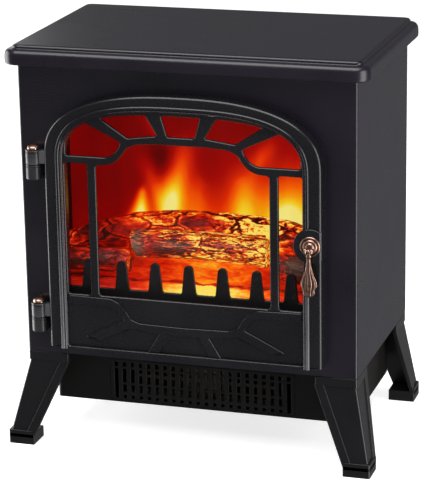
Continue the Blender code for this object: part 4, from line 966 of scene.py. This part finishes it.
def handle_drop():
    """Cast drop: a ball at the eye, a waisted stem and a fan of petals that ends in a small bud."""
    key = [(0.2, 0.6, 0.6), (1.2, 1.9, 1.9), (2.8, 2.5, 2.5), (4.4, 1.9, 2.0), (5.6, 1.7, 1.8)]
    key += [(7.2, 2.8, 2.3), (8.6, 3.1, 2.5), (9.8, 2.6, 2.2), (11.0, 2.3, 2.0), (16.0, 2.5, 2.1)]
    key += [(23.0, 3.5, 2.4), (30.0, 5.4, 2.8), (36.0, 7.9, 3.2), (40.5, 9.2, 3.4), (44.0, 8.6, 3.3)]
    key += [(47.0, 7.2, 3.1), (49.5, 6.7, 2.9), (52.0, 6.3, 2.8), (54.5, 5.2, 2.5), (56.2, 3.2, 1.8)]
    key.append((57.0, 1.2, 0.8))
    loops = []
    for below, half_width, half_depth in finer(key, 4):
        flute = 0.26 * limited((below - 13) / 18) * limited((56.6 - below) / 5)
        loop = []
        for angle in circle(144):
            petal = abs(math.cos(5 * angle))
            wave = 1 - flute * (1 - petal ** 0.8)
            scallop = 2.4 * flute * petal * limited((below - 36) / 8)
            x = HANDLE_X + half_width * wave * math.cos(angle)
            y = EYE_Y + half_depth * wave * math.sin(angle)
            loop.append((x, y, EYE_Z + 2.2 - below - scallop))
        loops.append(loop)
    body = loft(loops)
    eye = Matrix.Translation((0, 0, -EYE_Z - 2))
    bmesh.ops.scale(body, vec=(1, 1, DROP_SHORTENING), space=eye, verts=body.verts)
    rod = [(0, HANDLE_X - 5.0), (1.0, HANDLE_X - 5.0), (1.0, HANDLE_X + 5.0), (0, HANDLE_X + 5.0)]
    return merged([body, turned(rod, "X", (EYE_Y, EYE_Z), 24)])


# ---------------------------------------------------------------- fire


def hill(x, z, centre, width, height, lean=0.0):
    """A soft bright spot."""
    across = (x - centre[0] - lean * (z - centre[1])) / width
    up = (z - centre[1]) / height
    return math.exp(-(across * across) - up * up)


def tongue(x, z, root, tip, root_width, tip_width, shape=1.0):
    """A flame that leans from its root to its tip, with soft edges and a fading top."""
    rise = (z - root[1]) / (tip[1] - root[1])
    if rise < -0.3 or rise > 1.35:
        return 0.0
    share = limited(rise)
    middle = root[0] + (tip[0] - root[0]) * max(rise, 0.0) ** shape
    across = (x - middle) / (root_width + (tip_width - root_width) * share)
    fade = 1 - 0.62 * share ** 1.3
    if rise > 0.8:
        fade *= math.exp(-(((rise - 0.8) / 0.26) ** 2))
    return math.exp(-(across * across)) * fade


def screen_heat(x, z):
    """How hot the flame picture looks at a spot, from 0, dark red, to 1, nearly white."""
    u = x + 5 * noise.noise(Vector((x * 0.015, 0.0, z * 0.014)))
    heat = 0.19 + 0.035 * noise.noise(Vector((x * 0.018, 5.0, z * 0.02)))
    heat += 0.36 * hill(x, z, (92, 228), 84, 80)
    heat += 0.20 * hill(x, z, (-10, 232), 90, 52)
    heat += 0.05 * hill(x, z, (20, 300), 90, 70)
    flames = [
        0.95 * tongue(u, z, (-103, 240), (-98, 274), 13, 5, 1.0),
        0.34 * tongue(u, z, (-74, 240), (-97, 310), 11, 12, 1.4),
        0.60 * tongue(u, z, (-62, 240), (-42, 334), 17, 15, 1.3),
        0.44 * hill(u, z, (-63, 262), 17, 26),
        0.30 * tongue(u, z, (-32, 238), (-28, 290), 16, 10),
        0.46 * tongue(u, z, (24, 240), (26, 296), 14, 13),
        0.22 * hill(u, z, (42, 250), 32, 40),
        0.66 * hill(u, z, (80, 244), 22, 24),
        0.34 * hill(u, z, (92, 266), 30, 40, 0.2),
        0.24 * hill(u, z, (50, 318), 11, 20, 0.6),
        0.20 * hill(u, z, (-82, 346), 9, 18, -0.4),
    ]
    for flame in flames:
        heat += flame * (1 - 0.6 * heat)
    valley = 0.10 * hill(u, z, (-74, 312), 12, 26, -0.1)
    return min(max(heat - valley, 0.0), 0.97)


def flame_screen():
    """Thin screen divided finely enough to carry the flame picture."""
    half = LINER_HALF_WIDTH - 1
    low, high = LINER_BOTTOM + 1, LINER_TOP - 1
    columns, rows = 200, 164
    solid = bmesh.new()
    heat = solid.verts.layers.float.new("fire_heat")
    sides = []
    for depth in (LINER_REAR + GAP, LINER_REAR + GAP + 2):
        grid = []
        for z in evenly(low, high, rows):
            line = []
            for x in evenly(-half, half, columns):
                vert = solid.verts.new((x, depth, z))
                vert[heat] = 0.0 if sides else screen_heat(x, z)
                line.append(vert)
            grid.append(line)
        for lower, upper in zip(grid, grid[1:]):
            bridge(solid, lower, upper, around=False)
        sides.append(grid)
    rim = [(0, column) for column in range(columns)] + [(row, columns) for row in range(rows)]
    rim += [(rows, column) for column in range(columns, 0, -1)] + [(row, 0) for row in range(rows, 0, -1)]
    bridge(solid, *[[grid[row][column] for row, column in rim] for grid in sides])
    return solid


# Each log: the points (x, y, z, radius) that its core passes through, and the seed of its unevenness.
LOG_BACK_CORE = [(-172, -38, 219, 12), (-136, -34, 226, 17), (-96, -30, 233, 22), (-50, -28, 237, 24)]
LOG_BACK_CORE += [(0, -26, 238, 24), (45, -26, 238, 24), (92, -28, 235, 23)]
LOG_BACK_CORE += [(132, -34, 227, 18), (168, -40, 220, 12)]
LOG_FRONT_CORE = [(-75, -82, 234, 15), (-70, -82, 235, 18), (-30, -82, 237, 18), (20, -82, 237, 18)]
LOG_FRONT_CORE += [(60, -82, 236, 18), (80, -82, 234, 18), (84, -82, 234, 15)]
LOG_LEFT_CORE = [(-168, -84, 210, 13), (-140, -84, 212, 15), (-110, -84, 213, 15)]
LOG_LEFT_CORE += [(-84, -84, 213, 15), (-81, -84, 213, 12)]
LOG_RIGHT_CORE = [(90, -84, 220, 13), (95, -84, 220, 16), (120, -84, 216, 16)]
LOG_RIGHT_CORE += [(150, -84, 211, 14), (168, -84, 209, 12)]
LOGS = {
    "log_back": (LOG_BACK_CORE, 0.0),
    "log_front": (LOG_FRONT_CORE, 21.0),
    "log_left": (LOG_LEFT_CORE, 40.0),
    "log_right": (LOG_RIGHT_CORE, 75.0),
}


def log_glow(x, z):
    """How strongly the lamps under the bed light a log at a spot."""
    glow = 0.37 + 0.30 * hill(x, z, (46, 244), 54, 24) + 0.20 * hill(x, z, (-84, 252), 34, 12)
    glow += 0.36 * hill(x, z, (77, 232), 8, 30) - 0.16 * hill(x, z, (-26, 232), 24, 16)
    glow -= 0.24 * limited((-x - 86) / 30) + 0.24 * limited((x - 92) / 20)
    return glow - 0.10 * limited((218 - z) / 22)


def bark_reach(x, angle, out, seed):
    """How far the bark stands out from a log's core, as a share of the radius there."""
    ridge = noise.noise(Vector((x * 0.012 + seed, math.cos(angle) * 2.2, math.sin(angle) * 2.2)))
    probe = Vector((x * 0.05 + seed, math.cos(angle) * 3.4, math.sin(angle) * 3.4))
    plates = noise.ridged_multi_fractal(probe, 0.9, 2.1, 4, 0.9, 2.0)
    fine = noise.noise(Vector((x * 0.22 + seed, out.y * 9, out.z * 9)))
    return 0.93 + 0.07 * ridge - 0.035 * plates + 0.018 * fine


def log(name):
    """An uneven log: long ridges and plates of bark, with each end closed."""
    path, seed = LOGS[name]
    length = abs(path[-1][0] - path[0][0])
    points = evened(finer(path, 30), max(int(length / 1.6), 40))
    core = [Vector(point[:3]) for point in points]
    solid = bmesh.new()
    glow, bark, soot = (solid.verts.layers.float.new(key) for key in ("glow", "bark", "soot"))
    rings = []
    for index, centre in enumerate(core):
        along = (core[min(index + 1, len(core) - 1)] - core[max(index - 1, 0)]).normalized()
        side = along.cross(Vector((0, 0, 1))).normalized()
        up = side.cross(along)
        ring = []
        for angle in circle(96):
            out = side * math.cos(angle) + up * math.sin(angle)
            reach = points[index][3] * bark_reach(centre.x, angle, out, seed)
            vert = solid.verts.new(centre + out * reach)
            x, _, z = vert.co
            vert[glow] = log_glow(x, z)
            vert[bark] = log_bark(name, x, z)
            vert[soot] = log_soot(name, x, z)
            ring.append(vert)
        rings.append(ring)
    for lower, upper in zip(rings, rings[1:]):
        bridge(solid, lower, upper)
    for ring, centre in ((rings[0], core[0]), (rings[-1], core[-1])):
        middle = solid.verts.new(centre)
        middle[glow] = log_glow(centre.x, centre.z) - 0.1
        middle[bark] = 0.6
        for first, second in zip(ring, ring[1:] + ring[:1]):
            solid.faces.new((first, second, middle))
    return solid


def log_bark(name, x, z):
    """Share of rough bark: the middle log is rough, the others mostly smooth."""
    if name == "log_front":
        return 0.82 - 0.62 * hill(x, z, (-49, 236), 11, 30)
    if name == "log_back":
        return 0.34 + 0.40 * hill(x, z, (50, 256), 40, 16) - 0.16 * hill(x, z, (-100, 240), 30, 30)
    return 0.38


def log_soot(name, x, z):
    """Share of grey painted bark."""
    if name == "log_front":
        end = 0.9 * hill(x, z, (-70, 236), 9, 22)
        return min(end + 0.7 * hill(x, z, (-22, 240), 20, 4) + 0.3 * hill(x, z, (40, 243), 26, 3), 1.0)
    if name == "log_right":
        return 0.7 * hill(x, z, (117, 226), 12, 12)
    return 0.0


def ember_height(x, y):
    """The bed rises behind a low front, and is lumpier away from its front edge."""
    rise = limited((y + 62) / 18)
    lumps = noise.fractal(Vector((x * 0.045, y * 0.06, 3.0)), 0.8, 2.1, 5)
    rim = limited((y + 108) / 10)
    return 191.0 + 12.0 * rise + 3.0 * lumps * (0.3 + 0.7 * rim)


def ember_glow(x, y):
    """Bright along the front, then a dark stripe, then orange, and dimmer towards the sides."""
    middle = math.exp(-(((x - 10) / 56) ** 2))
    side = math.exp(-(((x - 14) / 110) ** 2))
    front = limited((-84 - y) / 6)
    stripe = math.exp(-(((y + 81) / 4) ** 2))
    return 0.30 + (0.34 + 0.10 * front) * side + (0.12 + 0.24 * front) * middle - 0.36 * stripe


def ember_bed():
    """Cast bed of embers with a stepped front that glows in bands."""
    front, back = FENCE_Y + FENCE_THICKNESS + 1, LINER_REAR - 1
    columns = evenly(-TRAY_HALF_WIDTH, TRAY_HALF_WIDTH, 200)
    solid = bmesh.new()
    glow, bark, _ = (solid.verts.layers.float.new(key) for key in ("glow", "bark", "soot"))
    lines = []
    face = [(front, z) for z in evenly(TRAY_BOTTOM, EMBER_LIP, 24)]
    top = [(y, None) for y in evenly(front, back, 90)[1:]]
    for y, z in face + top:
        line = []
        for x in columns:
            if z is None:
                height = ember_height(x, y)
            else:
                height = z + 1.2 * noise.noise(Vector((x * 0.05, z * 0.08, 0.0)))
            vert = solid.verts.new((x, y, height))
            vert[glow] = ember_glow(x, y)
            vert[bark] = 0.08
            line.append(vert)
        lines.append(line)
    lines.append([solid.verts.new((x, back, TRAY_BOTTOM)) for x in columns])
    for lower, upper in zip(lines, lines[1:] + lines[:1]):
        bridge(solid, lower, upper, around=False)
    for column in (0, -1):
        solid.faces.new([line[column] for line in lines])
    return solid


def grate_fence():
    """Row of tapered, round-topped tines on a foot rail."""
    half, low = TRAY_HALF_WIDTH, TRAY_BOTTOM
    outline = [(-half, low), (half, low), (half, RAIL_TOP)]
    reach = TINE_BASE_WIDTH / 2
    for index in range(TINE_COUNT - 1, -1, -1):
        x = (index - (TINE_COUNT - 1) / 2) * TINE_PITCH
        outline += [(x + reach + 0.4, RAIL_TOP), (x + reach - 0.9, RAIL_TOP + 2)]
        outline += arc((x, TINE_TOP - TINE_TOP_WIDTH / 2), TINE_TOP_WIDTH / 2, 0, 180, 16)
        outline += [(x - reach + 0.9, RAIL_TOP + 2), (x - reach - 0.4, RAIL_TOP)]
    outline.append((-half, RAIL_TOP))
    return plate(outline, [], FENCE_Y, FENCE_Y + FENCE_THICKNESS, 1.1, 3)


# ---------------------------------------------------------------- back


def knob():
    """Ribbed skirt, dished cap and a pointer line."""
    low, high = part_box("thermostat_knob")
    x, z = (low.x + high.x) / 2 / MM, (low.z + high.z) / 2 / MM
    face = high.y / MM - SHIFT - KNOB_DEPTH
    rim = [(0.6, 0.0), (0.0, 0.5), (0.0, 2.4), (1.2, 3.2), (2.0, 4.2), (3.0, 7.4), (3.6, 8.2)]
    rim.append((4.6, KNOB_DEPTH))
    rings = [(KNOB_RADIUS - inset, depth) for inset, depth in rim]
    loops = []
    for reach, depth in [(2.9, -18.0), (2.9, 0.0), *rings, (0.4, KNOB_DEPTH - 0.5)]:
        rib = 0.45 if 3.0 < depth < 8.0 else 0.0
        loop = []
        for angle in circle(144):
            out = reach - rib * (0.5 + 0.5 * math.cos(24 * angle))
            loop.append((x + out * math.cos(angle), face + depth, z + out * math.sin(angle)))
        loops.append(loop)
    pointer = block((x - 0.7, x + 0.7), (face + 7.4, face + 8.8), (z + 3, z + KNOB_RADIUS - 4.4), 0.3)
    return merged([loft(loops), pointer])


def rocker(name):
    """Rocker cap with a shallow dip and eased edges."""
    low, high = (Vector(corner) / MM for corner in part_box(name))
    middle = (low.z + high.z) / 2
    back, front = low.y - SHIFT, high.y - SHIFT
    outline = [(back, low.z + 1.4), (front - 0.6, low.z + 0.1), (front, low.z + 0.9)]
    outline += [(front - 1.1, low.z + 4.5), (front - 1.8, middle), (front - 1.1, high.z - 4.5)]
    outline += [(front, high.z - 0.9), (front - 0.6, high.z - 0.1), (back, high.z - 1.4)]
    return rounded_edges(prism(outline, "X", low.x, high.x), 0.7, 3)


# ---------------------------------------------------------------- assembly


def dress_cabinet(steel, plastic, housing):
    piece("top_slab_tray", top_slab(), steel, "top_slab")
    piece("cabinet_shell", cabinet_wrap(), steel, "cabinet_wrap", smooth=25.0)
    for depth, end in ((-1, "front"), (1, "rear")):
        for side, hand in ((-1, "left"), (1, "right")):
            name = f"leg_{end}_{hand}"
            piece(f"moulded_{name}", leg(side, depth), plastic, name)
    piece("outlet_louvre", outlet_grille(), housing, "outlet_grille")
    repaint(["rear_panel"], steel)
    repaint(["lower_housing"], housing)
    repaint(["control_panel", "cord_gland"], plastic)


def dress_door(casting, hinge, copper):
    piece("door_casting", door_frame(), casting, "door_frame", "door")
    for low, where in ((HINGE_LOWER, "lower"), (HINGE_UPPER, "upper")):
        piece(f"knuckle_{where}", hinge_knuckle(low), hinge, f"hinge_knuckle_{where}")
        piece(f"finial_{where}", hinge_pin(low), copper, f"hinge_pin_{where}", "door")
    piece("rosette", handle_rosette(), copper, "handle_rosette", "door")
    piece("drop_pull", handle_drop(), copper, "handle_drop", "handle")
    repaint(["door_glass"], clear_pane("clear_pane"))


# Each log's bark: how its grain is stretched, and how bright the seams between its plates are.
BARKS = {
    "log_back": ((26.0, 52.0, 52.0), 0.9),
    "log_front": ((34.0, 125.0, 125.0), 0.45),
    "log_left": ((26.0, 70.0, 70.0), 0.5),
    "log_right": ((34.0, 60.0, 60.0), 0.6),
}


def dress_fire(iron):
    picture = fire_picture("flame_picture")
    piece("flame_picture", flame_screen(), picture, "flame_screen", weighted=False)
    for number, name in enumerate(LOGS):
        fibre, plates = BARKS[name]
        resin = glowing_log(f"{name}_resin", fibre, 0.31 * number, plates)
        piece(f"cast_{name}", log(name), resin, name, smooth=80.0, weighted=False)
    embers = glowing_log("ember_resin", (18.0, 30.0, 60.0), 1.7, 0.15)
    piece("cast_ember_bed", ember_bed(), embers, "ember_bed", smooth=60.0, weighted=False)
    piece("cast_grate", grate_fence(), iron, "grate_fence")


def dress_controls(moulding):
    piece("ribbed_knob", knob(), moulding, "thermostat_knob", "thermostat")
    for use in ("flame", "low_heat", "high_heat"):
        name = f"rocker_{use}"
        piece(f"rocker_cap_{use}", rocker(name), moulding, name, f"switch_{use}")
    repaint(["fan_impeller", "switch_block", "thermostat_body"], moulding)


def dress_inside():
    zinc = metal("zinc_plate", (0.52, 0.53, 0.55), 0.34, 900.0, 0.00002)
    foil = metal("reflector_foil", (0.8, 0.8, 0.78), 0.2, 600.0, 0.00003)
    board = speckled("circuit_board", (0.02, 0.11, 0.04), (0.03, 0.16, 0.06), 0.4, 500.0)
    ceramic = speckled("heater_ceramic", (0.085, 0.055, 0.038), (0.05, 0.034, 0.025), 0.7, 900.0)
    repaint(["base_pan", "blower_housing", "fan_motor", "flicker_motor", "magnet_strike"], zinc)
    repaint([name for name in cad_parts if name.startswith("rear_screw")], zinc)
    repaint(["flicker_stand", "flicker_rod"], foil)
    repaint(["led_board_bed", "led_board_flame"], board)
    repaint(["heating_element", "thermal_cutout", "terminal_block"], ceramic)


def build():
    steel = coating("satin_black_steel", (0.0074, 0.0058, 0.0104), 0.3, 850.0, 0.000007)
    # The door enamel's paler edges are a painted highlight.
    casting = coating("door_enamel", (0.0052, 0.0048, 0.0062), 0.27, 650.0, 0.000003, painted_edge_highlight=0.14)
    plastic = coating("black_plastic", (0.0044, 0.0044, 0.0052), 0.3, 1500.0, 0.000004)
    # Black plastic with painted shade from the cabinet above and a painted warm reflection, which make it
    # darker and browner than the other black plastic.
    housing = coating("housing_plastic_painted_shade", (0.0030, 0.0024, 0.0020), 0.5, 1500.0, 0.000008, specular=0.35)
    hinge = coating("hinge_grey", (0.014, 0.014, 0.015), 0.3, 1100.0, 0.000008)
    iron = coating("grate_iron", (0.006, 0.0045, 0.0045), 0.5, 800.0, 0.00008)
    liner = coating("firebox_black", (0.012, 0.007, 0.006), 0.55, 900.0, 0.00005)
    moulding = coating("dark_moulding", (0.018, 0.018, 0.019), 0.45, 1400.0, 0.00004)
    dress_cabinet(steel, plastic, housing)
    dress_door(casting, hinge, antique_copper("antique_copper"))
    dress_fire(iron)
    dress_controls(moulding)
    repaint(["firebox_liner", "magnet_catch"], liner)
    dress_inside()


# ---------------------------------------------------------------- studio


# Each softbox: where it stands, the height it looks at, its width and height, and its power in watts.
LIGHTS = {
    "key_right": ((1.9, -0.65, 0.0), 0.15, (1.3, 2.6), 48),
    "fill_left": ((-2.0, 0.2, 0.0), 0.15, (1.6, 2.6), 54),
    "overhead": ((0.0, -0.8, 2.4), 0.25, (2.6, 2.0), 80),
    "back_left": ((-1.6, 2.2, 0.6), 0.25, (0.8, 1.8), 6),
    "back_right": ((1.2, 2.4, -0.5), 0.1, (1.2, 2.2), 0.7),
}
FLOOR_REACH = 30.0
CAMERA_AZIMUTH = math.radians(17.5194)
CAMERA_HEIGHT = math.radians(16.8534)
CAMERA_ROLL = math.radians(-0.9951)
CAMERA_DISTANCE = 2.6828
CAMERA_LENS = 170.97


def softbox(name, spot, aim, size, power):
    light = bpy.data.lights.new(name, "AREA")
    light.shape = "RECTANGLE"
    light.size, light.size_y = size
    light.energy = power
    made = stand(name, light)
    made.location = spot
    made.rotation_euler = (Vector((0, 0, aim)) - Vector(spot)).to_track_quat("-Z", "Y").to_euler()
    made.visible_camera = False


def backdrop():
    """White to the eye, dimmer as a source of light, so that black paint stays black."""
    world = bpy.data.worlds.new("studio")
    world.use_nodes = True
    tree = world.node_tree
    surround = tree.nodes["Background"]
    feed(surround, {"Color": (0.97, 0.98, 1.0, 1.0), "Strength": 0.15})
    seen = add(tree, "ShaderNodeBackground", inputs={"Color": (1.0, 1.0, 1.0, 1.0), "Strength": 1.0})
    direct = add(tree, "ShaderNodeLightPath").outputs["Is Camera Ray"]
    inputs = {0: direct, 1: surround.outputs[0], 2: seen.outputs[0]}
    choice = add(tree, "ShaderNodeMixShader", inputs=inputs)
    feed(tree.nodes["World Output"], {"Surface": choice.outputs[0]})
    bpy.context.scene.world = world


def studio():
    mesh = bpy.data.meshes.new("studio_floor")
    corners = [(x * FLOOR_REACH, y * FLOOR_REACH, 0) for x, y in ((-1, -1), (1, -1), (1, 1), (-1, 1))]
    mesh.from_pydata(corners, [], [(0, 1, 2, 3)])
    mesh.materials.append(studio_floor("studio_floor"))
    floor = stand("studio_floor", mesh)
    floor.visible_glossy = False
    floor.visible_shadow = False
    for name, values in LIGHTS.items():
        softbox(name, *values)


def camera():
    """Slightly above and to the right, on a long lens, with a trace of roll."""
    azimuth, height, roll = CAMERA_AZIMUTH, CAMERA_HEIGHT, CAMERA_ROLL
    target = Vector((-0.0086, SHIFT * MM, 0.2164))
    reach = math.cos(height)
    back = Vector((math.sin(azimuth) * reach, -math.cos(azimuth) * reach, math.sin(height)))
    right = Vector((math.cos(azimuth), math.sin(azimuth), 0.0))
    up = back.cross(right)
    level = math.cos(roll) * right + math.sin(roll) * up
    upright = -math.sin(roll) * right + math.cos(roll) * up
    data = bpy.data.cameras.new("camera")
    data.sensor_width = 36.0
    data.lens = CAMERA_LENS
    data.clip_end = 100.0
    made = stand("camera", data)
    turn = Matrix((level, upright, back)).transposed().to_4x4()
    made.matrix_world = Matrix.Translation(target + back * CAMERA_DISTANCE) @ turn
    bpy.context.scene.camera = made


build()
studio()
backdrop()
camera()
bpy.context.scene.view_settings.view_transform = "Standard"
